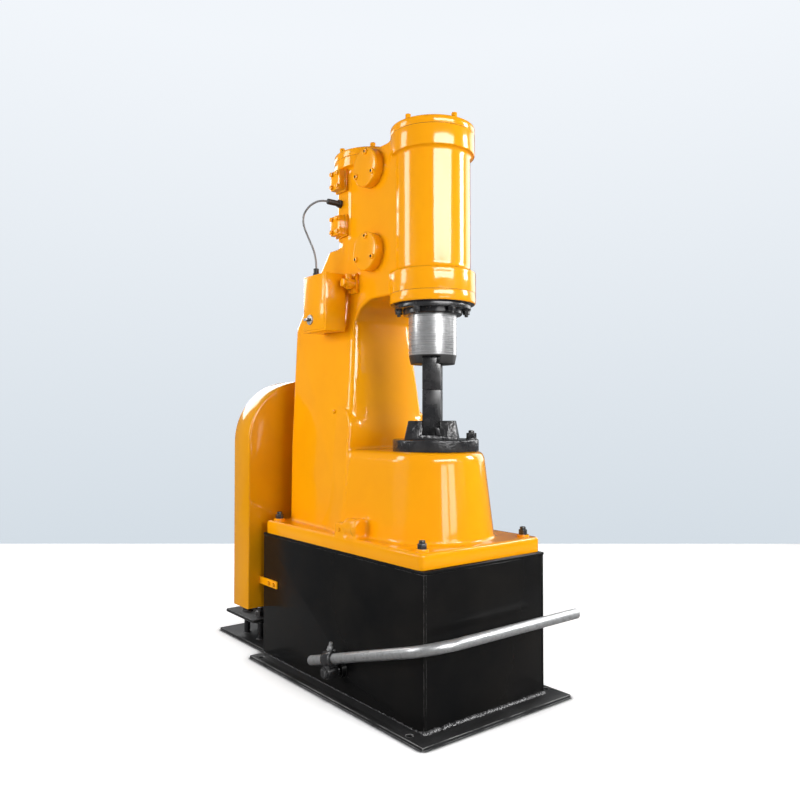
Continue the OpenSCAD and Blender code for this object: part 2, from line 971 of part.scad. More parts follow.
module control_gland() {
    hex_r = 11;
    hex_h = 9;
    sleeve_r = 8;
    color(black_plastic)
        translate([cable_end[0], cable_end[1], control_z + control_h]) {
            cylinder(h = hex_h, r = hex_r, $fn = 6);
            cylinder(h = cable_end[2] - control_z - control_h, r = sleeve_r);
        }
}

module compressor_gland() {
    hex_r = 13;
    hex_h = 10;
    color(black_plastic)
        sideways(-port_pad_x, cable_start[1], cable_start[2], -1) {
            cylinder(h = hex_h, r = hex_r, $fn = 6);
            cylinder(h = -cable_start[0] - port_pad_x, r = cable_gland_r);
        }
}

// Sweep of a round cable along its route, one ring of points for each route point
function unit(v) = v / norm(v);
function route_dir(i, last) = unit(cable_route[min(i + 1, last)] - cable_route[max(i - 1, 0)]);
function ring_dir(i, last) = i == 0 ? [-1, 0, 0] : i == last ? [0, 0, -1] : route_dir(i, last);
function cable_ring(i, last) =
    let (d = ring_dir(i, last), u = unit(cross(d, [0.3, 1, 0.35])), v = cross(d, u))
    [for (k = [0:cable_sides - 1])
        let (a = 360 * k / cable_sides)
        cable_route[i] + cable_d / 2 * (cos(a) * u + sin(a) * v)];

module control_cable() {
    last = len(cable_route) - 1;
    points = [for (i = [0:last], p = cable_ring(i, last)) p];
    sides = [for (i = [0:last - 1], k = [0:cable_sides - 1])
        let (a = i * cable_sides + k, b = i * cable_sides + (k + 1) % cable_sides)
        [a, b, b + cable_sides, a + cable_sides]];
    first_end = [for (k = [0:cable_sides - 1]) cable_sides - 1 - k];
    last_end = [for (k = [0:cable_sides - 1]) last * cable_sides + k];
    color(grey_cable)
        polyhedron(points, concat([first_end, last_end], sides));
}

// Rear bearing, belt guard and its strap

module bearing_cover() {
    nose_l = guard_y - column_rear;
    color(yellow)
        translate([0, column_rear, bearing_z])
            rotate([-90, 0, 0])
                rotate_extrude($fn = 96)
                    polygon([[0, 0], [bearing_r, 0], [bearing_r, bearing_flange_t],
                             [bearing_nose_r, bearing_flange_t], [bearing_nose_r, nose_l], [0, nose_l]]);
}

module belt_guard() {
    color(yellow)
        translate([0, guard_back, guard_low])
            rotate([90, 0, 0]) {
                linear_extrude(guard_d - guard_edge)
                    arched_outline(guard_w, guard_h, guard_r);
                linear_extrude(guard_d)
                    translate([0, guard_edge])
                        arched_outline(guard_w - 2 * guard_edge, guard_h - 2 * guard_edge,
                                       guard_r - guard_edge);
            }
}

// Bent flat strap from the base's left wall to the guard's front
module guard_strap() {
    strap_t = 5;
    strap_h = 23;
    strap_front = 90;
    strap_leg = 46;
    strap_up = 77.5;
    strap_z = guard_low + strap_up;
    x = -base_w / 2 - strap_t;
    color(yellow)
        translate([x, base_l / 2 - strap_front, strap_z]) {
            cube([strap_t, strap_front + guard_gap, strap_h]);
            translate([0, strap_front + guard_gap - strap_t, 0])
                cube([strap_leg, strap_t, strap_h]);
        }
}

// Motor with its floor plate, lifting plate and studs

module motor_floor_plate() {
    color(black_paint)
        translate([-motor_plate_w / 2, base_l / 2, 0])
            cube([motor_plate_w, motor_plate_l, floor_t]);
}

module motor_lift_plate() {
    color(black_paint)
        translate([-motor_plate_w / 2, lift_front, lift_low])
            cube([motor_plate_w, lift_rear - lift_front, lift_t]);
}

// Studs with a nut under the lifting plate
module motor_studs() {
    stud_side = 46;
    stud_inset = 34;
    nut_h = 12;
    nut_wall = 7;
    color(dark_steel)
        for (s = [-1, 1], y = [lift_front + stud_inset, lift_rear - 2 * stud_inset])
            translate([s * (motor_plate_w / 2 - stud_side), y, floor_t]) {
                cylinder(h = lift_up, d = stud_d);
                translate([0, 0, lift_up - nut_h])
                    cylinder(h = nut_h, r = stud_d / 2 + nut_wall, $fn = 6);
            }
}

// Motor body: shaft neck, end bell, ribbed barrel, rear bell and two feet
module motor_body() {
    neck_r = 14;
    foot_w_each = 46;
    foot_thick = 14;
    foot_span = 96;
    foot_len = 150;
    foot_rise = 62;
    bell_inset = 20;
    fin_root = 2;
    fin_stop = 10;
    core_r = motor_r - fin_h;
    color(black_paint) {
        translate([0, guard_back, motor_z])
            rotate([-90, 0, 0]) {
                cylinder(h = motor_neck + eps, r = neck_r);
                translate([0, 0, motor_neck])
                    cylinder(h = motor_bell_l, r1 = core_r - bell_inset, r2 = motor_r);
                translate([0, 0, motor_neck + motor_bell_l - eps])
                    cylinder(h = motor_l + eps, r = core_r);
                for (k = [0:fin_count - 1])
                    rotate([0, 0, 360 * k / fin_count])
                        translate([core_r - fin_root, -fin_w / 2, motor_neck + motor_bell_l - eps])
                            cube([fin_h + fin_root, fin_w, motor_l - fin_stop]);
            }
        translate([-terminal_w / 2, motor_body_y + terminal_back, motor_z])
            cube([terminal_w, terminal_l, motor_r + terminal_pad]);
        for (s = [-1, 1])
            translate([s * foot_span - foot_w_each / 2, motor_body_y, lift_top]) {
                cube([foot_w_each, foot_len, foot_thick]);
                translate([s > 0 ? 0 : foot_w_each - foot_thick, 0, 0])
                    cube([foot_thick, foot_len, foot_rise]);
            }
    }
}

module motor_fan_cover() {
    rim = 10;
    color(black_paint)
        translate([0, motor_fan_y, motor_z])
            rotate([-90, 0, 0])
                rotate_extrude()
                    polygon([[0, 0], [motor_r, 0], [motor_r, motor_fan_l - rim], [motor_r - rim, motor_fan_l],
                             [0, motor_fan_l]]);
}

module motor_terminal_box() {
    lid_t = 8;
    lid_lip = 3;
    box_h = 36;
    box_r = 8;
    color(black_paint)
        translate([0, motor_body_y + terminal_back + terminal_l / 2, motor_z + motor_r + terminal_pad]) {
            rounded_plate(terminal_w, terminal_l, box_h, box_r);
            translate([0, 0, box_h])
                rounded_plate(terminal_w + 2 * lid_lip, terminal_l + 2 * lid_lip, lid_t, box_r + lid_lip);
        }
}

// Treadle: bent pipe, the clamp that carries it and its shaft

// Places a piece at the pipe's centre over the shaft, tilted with the pipe
module pipe_frame() {
    translate([pipe_x, shaft_y, pipe_z])
        rotate([-pipe_rise, 0, 0])
            children();
}

module pipe_path(r) {
    run = pipe_reach - pipe_bend;
    bar = bar_past - pipe_x - pipe_bend;
    translate([0, pipe_tail, 0])
        rotate([90, 0, 0])
            cylinder(h = pipe_tail + run, r = r);
    translate([pipe_bend, -run, 0])
        rotate([0, 0, 180])
            rotate_extrude(angle = 90)
                translate([pipe_bend, 0])
                    circle(r);
    translate([pipe_bend, -pipe_reach, 0])
        rotate([0, 90, 0])
            cylinder(h = bar, r = r);
}

module treadle_pipe() {
    color(galvanised)
        pipe_frame()
            difference() {
                pipe_path(pipe_d / 2);
                pipe_path(pipe_d / 2 - pipe_t);
            }
}

// Split clamp: hub on the shaft below, pipe eye above and two lugs for the pinch bolt
module treadle_clamp() {
    eye_r = pipe_d / 2 + clamp_wall;
    hub_r = shaft_d / 2 + clamp_wall;
    lug_top = pipe_d / 2 + clamp_lug;
    lug_w = 20;
    neck_l = 29;
    color(dark_steel)
        difference() {
            union() {
                sideways(pipe_x + clamp_w / 2, shaft_y, shaft_z, -1)
                    cylinder(h = clamp_w, r = hub_r);
                pipe_frame() {
                    translate([0, clamp_l / 2, 0])
                        rotate([90, 0, 0])
                            cylinder(h = clamp_l, r = eye_r);
                    translate([-lug_w / 2, -clamp_l / 2, 0])
                        cube([lug_w, clamp_l, lug_top]);
                }
                translate([pipe_x - clamp_w / 2, shaft_y - neck_l / 2, shaft_z])
                    cube([clamp_w, neck_l, pipe_lift]);
            }
            pipe_frame() {
                translate([0, clamp_l, 0])
                    rotate([90, 0, 0])
                        cylinder(h = 2 * clamp_l, r = pipe_d / 2);
                translate([-slot_w / 2, -clamp_l, 0])
                    cube([slot_w, 2 * clamp_l, lug_top + eps]);
            }
            sideways(pipe_x + clamp_w, shaft_y, shaft_z, -1)
                cylinder(h = 2 * clamp_w, r = shaft_d / 2);
        }
}

module treadle_shaft() {
    start = -base_w / 2 + wall_t + shaft_inside;
    reach = start - pipe_x + clamp_w / 2 + shaft_end;
    collar_wall = 8;
    collar_r = shaft_d / 2 + collar_wall;
    collar_l = 12;
    collar_gap = 1;
    color(dark_steel)
        sideways(start, shaft_y, shaft_z, -1) {
            cylinder(h = reach, d = shaft_d);
            translate([0, 0, shaft_inside - collar_l - collar_gap])
                cylinder(h = collar_l, r = collar_r);
        }
}

floor_plate();
base_front_wall();
base_rear_wall();
base_left_wall();
base_right_wall();
base_top_plate();
frame_casting();
ram_cap();
compressor_cap();
guide_ring();
packing_gland();
ram();
upper_die();
upper_wedge();
lower_die();
lower_wedge();
die_holder();
anvil_plate();
valve_cover_low_left();
valve_cover_high_left();
valve_cover_low_right();
valve_cover_high_right();
port_block_low();
port_block_high();
air_cock();
control_box();
control_switch();
control_gland();
compressor_gland();
control_cable();
bearing_cover();
belt_guard();
guard_strap();
motor_floor_plate();
motor_lift_plate();
motor_studs();
motor_body();
motor_fan_cover();
motor_terminal_box();
treadle_pipe();
treadle_clamp();
treadle_shaft();
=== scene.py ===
import bpy
import json
import random
from math import cos, radians, sin, sqrt, tau
from mathutils import Matrix, Vector

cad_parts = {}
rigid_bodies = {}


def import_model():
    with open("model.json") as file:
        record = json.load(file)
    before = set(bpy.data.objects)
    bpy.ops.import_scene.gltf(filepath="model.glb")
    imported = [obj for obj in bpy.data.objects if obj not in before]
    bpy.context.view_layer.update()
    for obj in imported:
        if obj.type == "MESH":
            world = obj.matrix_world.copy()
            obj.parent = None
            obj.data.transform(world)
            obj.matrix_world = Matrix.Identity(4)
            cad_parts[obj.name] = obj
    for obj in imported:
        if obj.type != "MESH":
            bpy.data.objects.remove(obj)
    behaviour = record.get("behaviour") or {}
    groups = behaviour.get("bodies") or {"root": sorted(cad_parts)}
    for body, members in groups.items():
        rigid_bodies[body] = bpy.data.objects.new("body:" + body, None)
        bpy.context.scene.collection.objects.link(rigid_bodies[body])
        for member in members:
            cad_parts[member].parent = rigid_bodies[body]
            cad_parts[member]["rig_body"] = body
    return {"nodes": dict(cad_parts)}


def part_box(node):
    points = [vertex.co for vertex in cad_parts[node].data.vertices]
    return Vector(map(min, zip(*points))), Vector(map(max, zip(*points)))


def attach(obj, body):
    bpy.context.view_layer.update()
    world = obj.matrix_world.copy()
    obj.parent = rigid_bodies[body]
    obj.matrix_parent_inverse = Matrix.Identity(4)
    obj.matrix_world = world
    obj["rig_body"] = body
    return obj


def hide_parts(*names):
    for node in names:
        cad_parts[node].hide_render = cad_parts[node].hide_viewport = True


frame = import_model()
nodes = frame["nodes"]
scene = bpy.context.scene
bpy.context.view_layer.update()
print("frame loaded with", len(nodes), "nodes")


# Selecting and editing, as by hand

def selectOnly(piece):
    bpy.ops.object.select_all(action="DESELECT")
    piece.select_set(True)
    bpy.context.view_layer.objects.active = piece


def openEdit(piece, choose=None, kind="EDGE"):  # edit mode with the chosen parts selected
    selectOnly(piece)
    bpy.ops.object.mode_set(mode="EDIT")
    bpy.ops.mesh.select_mode(type=kind)
    bpy.ops.mesh.select_all(action="DESELECT" if choose else "SELECT")
    bpy.ops.object.mode_set(mode="OBJECT")
    if choose:
        mesh = piece.data
        if kind == "FACE":
            for face in mesh.polygons:
                face.select = choose(face.center, face.normal)
        elif kind == "EDGE":
            for edge in mesh.edges:
                ends = [mesh.vertices[i].co for i in edge.vertices]
                edge.select = choose(ends[0], ends[1])
        else:
            for vert in mesh.vertices:
                vert.select = choose(vert.co)
    bpy.ops.object.mode_set(mode="EDIT")


def closeEdit():
    bpy.ops.object.mode_set(mode="OBJECT")


def bevelEdges(piece, choose, width, steps):
    openEdit(piece, choose)
    bpy.ops.mesh.bevel(offset=width, segments=steps, profile=0.5, affect="EDGES", clamp_overlap=True)
    closeEdit()


def settle(piece):  # puts the object's place into its mesh
    selectOnly(piece)
    bpy.ops.object.transform_apply(location=True, rotation=True, scale=True)


def applyModifier(piece, kind, **settings):
    selectOnly(piece)
    step = piece.modifiers.new("step", kind)
    for name, value in settings.items():
        setattr(step, name, value)
    bpy.ops.object.modifier_apply(modifier="step")


def smoothShade(piece, angle=35):
    selectOnly(piece)
    bpy.ops.object.shade_smooth_by_angle(angle=radians(angle))


def finishPiece(piece, look, body="frame", stands=()):
    if piece.data.materials:
        piece.data.materials[0] = look
    else:
        piece.data.materials.append(look)
    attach(piece, body)
    if stands:
        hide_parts(*stands)
    return piece


def joinPieces(pieces, name):
    bpy.ops.object.select_all(action="DESELECT")
    for piece in pieces:
        piece.select_set(True)
    bpy.context.view_layer.objects.active = pieces[0]
    if len(pieces) > 1:
        bpy.ops.object.join()
    pieces[0].name = name
    return pieces[0]


hair = 1e-5  # slack for picking edges and faces by their place


def levelEdges(z):  # picks the edges that lie at one height
    return lambda a, b: abs(a.z - z) < hair and abs(b.z - z) < hair


def addCylinder(name, radius, height, foot, sides, centre=(0, 0)):
    bpy.ops.object.select_all(action="DESELECT")
    bpy.ops.mesh.primitive_cylinder_add(vertices=sides, radius=radius, depth=height,
                                        location=(*centre, foot + height / 2))
    piece = bpy.context.object
    piece.name = name
    settle(piece)
    return piece


def addBlock(name, low, high):
    bpy.ops.object.select_all(action="DESELECT")
    bpy.ops.mesh.primitive_cube_add(size=1, location=(low + high) / 2)
    piece = bpy.context.object
    piece.name = name
    piece.scale = high - low
    settle(piece)
    return piece


def paintFaces(piece, look, choose):  # a second finish on the chosen faces
    piece.data.materials.append(look)
    for face in piece.data.polygons:
        face.material_index = 1 if choose(face.center, face.normal) else 0


# Camera at the photograph's angle

cameraSetup = {
    "place": (-1.3477, -1.7256, 0.7523),
    "lookUp": 1.315,  # degrees above level
    "turn": -38.56,  # degrees round from the machine's front
    "lens": 33.34,
    "sensor": 36.0,
}
bpy.ops.object.select_all(action="DESELECT")
bpy.ops.object.camera_add(
    location=cameraSetup["place"],
    rotation=(radians(90 + cameraSetup["lookUp"]), 0, radians(cameraSetup["turn"])))
viewCamera = bpy.context.object
viewCamera.name = "photoCamera"
viewCamera.data.lens = cameraSetup["lens"]
viewCamera.data.sensor_width = cameraSetup["sensor"]
scene.camera = viewCamera
print("camera set")


# Shader helpers

def addNode(tree, kind, values=None, **settings):
    node = tree.nodes.new(kind)
    for name, value in settings.items():
        setattr(node, name, value)
    for name, value in (values or {}).items():
        node.inputs[name].default_value = value
    return node


def wire(tree, source, target):
    tree.links.new(source, target)


def objectPlace(tree):
    return addNode(tree, "ShaderNodeTexCoord").outputs["Object"]


def makeGroup(name, inputs, outputs):
    group = bpy.data.node_groups.new(name, "ShaderNodeTree")
    for label, start in inputs.items():
        socket = group.interface.new_socket(label, in_out="INPUT", socket_type="NodeSocketFloat")
        socket.default_value = start
    for label in outputs:
        group.interface.new_socket(label, in_out="OUTPUT", socket_type="NodeSocketFloat")
    return group, group.nodes.new("NodeGroupInput"), group.nodes.new("NodeGroupOutput")


def useGroup(tree, group, **values):
    node = tree.nodes.new("ShaderNodeGroup")
    node.node_tree = group
    for name, value in values.items():
        node.inputs[name].default_value = value
    return node


def noiseOn(tree, place, scale, detail=2.0, rough=0.5):
    node = addNode(tree, "ShaderNodeTexNoise", {"Detail": detail, "Roughness": rough})
    wire(tree, place, node.inputs["Vector"])
    if hasattr(scale, "is_linked"):
        wire(tree, scale, node.inputs["Scale"])
    else:
        node.inputs["Scale"].default_value = scale
    return node.outputs["Fac"]


def mathOn(tree, operation, first, second, clamp=False):
    node = addNode(tree, "ShaderNodeMath", operation=operation, use_clamp=clamp)
    for slot, value in enumerate((first, second)):
        if hasattr(value, "is_linked"):
            wire(tree, value, node.inputs[slot])
        else:
            node.inputs[slot].default_value = value
    return node.outputs[0]


def rangeOn(tree, value, low, high, start=0.0, end=1.0):
    node = addNode(tree, "ShaderNodeMapRange", {
        "From Min": low, "From Max": high, "To Min": start, "To Max": end}, clamp=True)
    wire(tree, value, node.inputs["Value"])
    return node.outputs["Result"]


def mixTone(tree, mask, first, second):
    node = addNode(tree, "ShaderNodeMix", data_type="RGBA")
    wire(tree, mask, node.inputs["Factor"])
    for slot, tone in (("A", first), ("B", second)):
        socket = [s for s in node.inputs if s.name == slot and s.type == "RGBA"][0]
        if hasattr(tone, "is_linked"):
            wire(tree, tone, socket)
        else:
            socket.default_value = (*tone, 1)
    return [s for s in node.outputs if s.type == "RGBA"][0]


def newLook(name, **fixed):
    look = bpy.data.materials.new(name)
    look.use_nodes = True
    tree = look.node_tree
    shader = [n for n in tree.nodes if n.type == "BSDF_PRINCIPLED"][0]
    for label, value in fixed.items():
        shader.inputs[label.replace("_", " ")].default_value = value
    return look, tree, shader


def bumpOn(tree, shader, height, strength, depth):
    bump = addNode(tree, "ShaderNodeBump", {"Strength": strength, "Distance": depth})
    wire(tree, height, bump.inputs["Height"])
    wire(tree, bump.outputs["Normal"], shader.inputs["Normal"])


# Shared surface effects

def buildCastSkin():  # slow lumps of a casting under paint, fine peel, and a drift of tone
    group, inside, outside = makeGroup(
        "castSkin", {"Lumps": 14, "Peel": 320, "Drift": 4}, ["Height", "Tone"])
    place = objectPlace(group)
    lumps = noiseOn(group, place, inside.outputs["Lumps"], 3, 0.55)
    peel = noiseOn(group, place, inside.outputs["Peel"], 1, 0.5)
    height = mathOn(group, "ADD", lumps, mathOn(group, "MULTIPLY", peel, 0.06))
    wire(group, height, outside.inputs["Height"])
    drift = noiseOn(group, place, inside.outputs["Drift"], 4, 0.6)
    wire(group, rangeOn(group, drift, 0.32, 0.68), outside.inputs["Tone"])
    return group


def buildEdgeRubAndSheen():  # mask along corners, broken up as rubbed paint is; the lighter edge tones it carries are partly worn paint and partly a painted highlight
    group, inside, outside = makeGroup("edgeRubAndSheen", {"Width": 0.002, "Break": 60}, ["Mask"])
    rounded = addNode(group, "ShaderNodeBevel", samples=6)
    wire(group, inside.outputs["Width"], rounded.inputs["Radius"])
    flat = addNode(group, "ShaderNodeNewGeometry").outputs["Normal"]
    turn = addNode(group, "ShaderNodeVectorMath", operation="DOT_PRODUCT")
    wire(group, rounded.outputs["Normal"], turn.inputs[0])
    wire(group, flat, turn.inputs[1])
    corner = rangeOn(group, turn.outputs["Value"], 0.995, 0.86)
    place = objectPlace(group)
    patches = rangeOn(group, noiseOn(group, place, inside.outputs["Break"], 3, 0.6), 0.38, 0.62)
    wire(group, mathOn(group, "MULTIPLY", corner, patches), outside.inputs["Mask"])
    return group


def buildSettledDust():  # grey film on faces that look up, strongest near the floor
    group, inside, outside = makeGroup("settledDust", {"Reach": 0.5, "Amount": 0.5}, ["Mask"])
    geometry = addNode(group, "ShaderNodeNewGeometry")
    facing = addNode(group, "ShaderNodeSeparateXYZ")
    wire(group, geometry.outputs["Normal"], facing.inputs[0])
    upward = rangeOn(group, facing.outputs["Z"], 0.3, 0.95)
    place = objectPlace(group)
    level = addNode(group, "ShaderNodeSeparateXYZ")
    wire(group, place, level.inputs[0])
    share = mathOn(group, "DIVIDE", level.outputs["Z"], inside.outputs["Reach"])
    low = mathOn(group, "SUBTRACT", 1.0, share, True)
    clouds = rangeOn(group, noiseOn(group, place, 38, 4, 0.65), 0.35, 0.7)
    film = mathOn(group, "MULTIPLY", mathOn(group, "MULTIPLY", upward, low), clouds)
    wire(group, mathOn(group, "MULTIPLY", film, inside.outputs["Amount"]), outside.inputs["Mask"])
    return group


castSkin = buildCastSkin()
edgeRubAndSheen = buildEdgeRubAndSheen()
settledDust = buildSettledDust()


# Finishes

def skinLook(name, finish, lumps, rise, rough=None):  # paint or oil over metal, lighter along its edges, partly as rubbed paint and partly as a painted edge highlight
    look, tree, shader = newLook(name, **finish["shader"])
    cast = useGroup(tree, castSkin, Lumps=lumps, Peel=finish["peel"], Drift=finish["drift"])
    rubAndSheen = useGroup(tree, edgeRubAndSheen, **finish["rubAndSheen"])
    tone = mixTone(tree, cast.outputs["Tone"], finish["tone"], finish["second"])
    if "dust" in finish:
        dust = useGroup(tree, settledDust, **finish["dust"])
        tone = mixTone(tree, dust.outputs["Mask"], tone, finish["dustTone"])
    # painted highlight along the corners, partly worn paint: the edge tone laid over the corner mask
    tone = mixTone(tree, rubAndSheen.outputs["Mask"], tone, finish["edge"])
    wire(tree, tone, shader.inputs["Base Color"])
    low, high = rough or finish["rough"]
    wire(tree, rangeOn(tree, cast.outputs["Tone"], 0, 1, low, high), shader.inputs["Roughness"])
    bumpOn(tree, shader, cast.outputs["Height"], finish["bump"], rise)
    return look


yellowEnamel = {
    # edge: a lighter yellow along the corners, a painted highlight broken up in patches
    "tone": (0.95, 0.385, 0.002), "second": (0.9, 0.345, 0.001), "edge": (0.97, 0.45, 0.01),
    "shader": {"Coat_Weight": 0.6, "Coat_Roughness": 0.05, "IOR": 1.46, "Specular_IOR_Level": 0.15},
    "peel": 360, "drift": 3.2, "rubAndSheen": {"Width": 0.003, "Break": 70}, "rough": (0.12, 0.2), "bump": 0.35,
}
guardEnamel = {  # darker enamel on the belt guard, partly painted shade for the weaker light that reaches it; its edge tone is a painted highlight
    **yellowEnamel,
    "tone": (0.75, 0.32, 0.002), "second": (0.7, 0.28, 0.001), "edge": (0.95, 0.43, 0.01),
}
blackEnamel = {
    "tone": (0.006, 0.0062, 0.0066), "second": (0.0105, 0.0098, 0.009), "edge": (0.16, 0.155, 0.15),
    "dust": {"Reach": 0.5, "Amount": 0.35}, "dustTone": (0.06, 0.058, 0.055),
    "shader": {"IOR": 1.45, "Specular_IOR_Level": 0.13},
    "peel": 240, "drift": 5, "rubAndSheen": {"Width": 0.0022, "Break": 45}, "rough": (0.16, 0.26), "bump": 0.3,
}
oiledIron = {
    "tone": (0.014, 0.014, 0.0155), "second": (0.034, 0.033, 0.034), "edge": (0.2, 0.2, 0.2),
    "shader": {"IOR": 1.6},
    "peel": 520, "drift": 22, "rubAndSheen": {"Width": 0.0016, "Break": 90}, "rough": (0.16, 0.32), "bump": 0.35,
}
yellowCast = skinLook("yellowCast", yellowEnamel, 16, 0.0022)  # over the rough casting
yellowSheet = skinLook("yellowSheet", yellowEnamel, 5, 0.0016)  # over turned and sheet parts
guardYellow = skinLook("guardYellow", guardEnamel, 4, 0.0016)
blackPaint = skinLook("blackPaint", blackEnamel, 7, 0.0012)
dieIron = skinLook("dieIron", oiledIron, 60, 0.0012, (0.2, 0.36))
holderIron = skinLook("holderIron", oiledIron, 80, 0.007, (0.08, 0.24))  # wetter and rougher cast
boltBlack = skinLook("boltBlack", oiledIron, 140, 0.0012)
weldScale = skinLook("weldScale", oiledIron, 190, 0.002)

plateFinish = {
    "scale": (0.014, 0.014, 0.0145), "grey": (0.042, 0.042, 0.043), "bareAndGlint": (0.6, 0.6, 0.59),
    "speckle": 210, "patches": 9, "rubAndSheen": {"Width": 0.0032, "Break": 14}, "rough": (0.42, 0.6),
    "bump": (0.3, 0.0006),
}


def floorPlateLook():  # thin paint over mill scale; its light edges are partly bare steel and partly a painted glint
    look, tree, shader = newLook("floorPlateScale", IOR=1.5, Specular_IOR_Level=0.3)
    place = objectPlace(tree)
    speckle = rangeOn(tree, noiseOn(tree, place, plateFinish["speckle"], 3, 0.7), 0.36, 0.68)
    patches = rangeOn(tree, noiseOn(tree, place, plateFinish["patches"], 4, 0.6), 0.35, 0.7)
    rubAndSheen = useGroup(tree, edgeRubAndSheen, **plateFinish["rubAndSheen"])
    worn = mathOn(tree, "MULTIPLY", speckle, patches)
    tone = mixTone(tree, worn, plateFinish["scale"], plateFinish["grey"])
    tone = mixTone(tree, rubAndSheen.outputs["Mask"], tone, plateFinish["bareAndGlint"])
    wire(tree, tone, shader.inputs["Base Color"])
    wire(tree, rangeOn(tree, patches, 0, 1, *plateFinish["rough"]), shader.inputs["Roughness"])
    bumpOn(tree, shader, speckle, *plateFinish["bump"])
    return look


ramFinish = {
    "steel": (0.58, 0.58, 0.58), "smear": (0.42, 0.42, 0.425), "toe": (0.028, 0.027, 0.027),
    "toeHeight": 0.024, "fadeOver": 0.0012, "fadeUnder": 0.0004,
    "rings": (4, 4, 420), "clouds": 30, "metal": (0.7, 0.15), "rough": (0.26, 0.29), "toeRough": 0.22,
    "bump": (0.03, 0.0001),
}


def ramLook():  # ground steel with rings of wear, and a dark chamfered toe
    look, tree, shader = newLook("groundRamSteel")
    place = objectPlace(tree)
    stretch = addNode(tree, "ShaderNodeMapping", {"Scale": ramFinish["rings"]})
    wire(tree, place, stretch.inputs["Vector"])
    rings = noiseOn(tree, stretch.outputs["Vector"], 1.0, 3, 0.6)
    clouds = rangeOn(tree, noiseOn(tree, place, ramFinish["clouds"], 4, 0.65), 0.38, 0.72)
    level = addNode(tree, "ShaderNodeSeparateXYZ")
    wire(tree, place, level.inputs[0])
    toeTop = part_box("ram")[0].z + ramFinish["toeHeight"]
    soot = rangeOn(tree, level.outputs["Z"], toeTop + ramFinish["fadeOver"], toeTop - ramFinish["fadeUnder"])
    tone = mixTone(tree, clouds, ramFinish["steel"], ramFinish["smear"])
    tone = mixTone(tree, soot, tone, ramFinish["toe"])
    wire(tree, tone, shader.inputs["Base Color"])
    wire(tree, rangeOn(tree, soot, 0, 1, *ramFinish["metal"]), shader.inputs["Metallic"])
    grain = rangeOn(tree, rings, 0.3, 0.7, *ramFinish["rough"])
    grain = mathOn(tree, "ADD", grain, mathOn(tree, "MULTIPLY", soot, ramFinish["toeRough"]))
    wire(tree, grain, shader.inputs["Roughness"])
    bumpOn(tree, shader, rings, *ramFinish["bump"])
    return look


zincFinish = {
    "light": (0.62, 0.625, 0.63), "dull": (0.42, 0.425, 0.43), "dark": (0.12, 0.12, 0.12),
    "patches": 24, "scuffs": 70, "scuffed": 0.6, "metal": (0.85, 0.35), "rough": (0.32, 0.52),
    "bump": (0.15, 0.0008),
}


def zincLook(name, spangle):  # hot-dip zinc: flakes, dull patches and scuffs
    look, tree, shader = newLook(name)
    place = objectPlace(tree)
    flake = addNode(tree, "ShaderNodeTexVoronoi", {"Scale": spangle}, feature="F1")
    wire(tree, place, flake.inputs["Vector"])
    split = addNode(tree, "ShaderNodeSeparateColor")
    wire(tree, flake.outputs["Color"], split.inputs[0])
    patches = rangeOn(tree, noiseOn(tree, place, zincFinish["patches"], 4, 0.7), 0.34, 0.66)
    scuffs = rangeOn(tree, noiseOn(tree, place, zincFinish["scuffs"], 5, 0.75), 0.6, 0.74)
    dulled = mathOn(tree, "MULTIPLY", split.outputs[0], patches)
    tone = mixTone(tree, dulled, zincFinish["light"], zincFinish["dull"])
    tone = mixTone(tree, mathOn(tree, "MULTIPLY", scuffs, zincFinish["scuffed"]), tone, zincFinish["dark"])
    wire(tree, tone, shader.inputs["Base Color"])
    wire(tree, rangeOn(tree, scuffs, 0, 1, *zincFinish["metal"]), shader.inputs["Metallic"])
    wire(tree, rangeOn(tree, patches, 0, 1, *zincFinish["rough"]), shader.inputs["Roughness"])
    bumpOn(tree, shader, patches, *zincFinish["bump"])
    return look


plasticFinish = {"low": (0.012, 0.012, 0.012), "high": (0.024, 0.024, 0.024), "rough": (0.38, 0.53),
                 "grain": 900, "bump": (0.2, 0.0003)}
jacketFinish = {"low": (0.15, 0.155, 0.16), "high": (0.23, 0.235, 0.24), "rough": (0.34, 0.49),
                "grain": 700, "bump": (0.2, 0.0003)}


def mouldedLook(name, finish):  # moulded plastic and cable jacket
    look, tree, shader = newLook(name, IOR=1.47)
    place = objectPlace(tree)
    fine = noiseOn(tree, place, finish["grain"], 2, 0.6)
    tint = rangeOn(tree, noiseOn(tree, place, 45, 3, 0.6), 0.35, 0.65)
    wire(tree, mixTone(tree, tint, finish["low"], finish["high"]), shader.inputs["Base Color"])
    wire(tree, rangeOn(tree, fine, 0.3, 0.7, *finish["rough"]), shader.inputs["Roughness"])
    bumpOn(tree, shader, fine, *finish["bump"])
    return look


floorPlateScale = floorPlateLook()
ramSteel = ramLook()
pipeZinc = zincLook("pipeZinc", 130)
boltZinc = zincLook("boltZinc", 260)
blackPlastic = mouldedLook("blackPlastic", plasticFinish)
cableGrey = mouldedLook("cableGrey", jacketFinish)
print("finishes made")


# Control cable, from the compressor's gland over to the control box

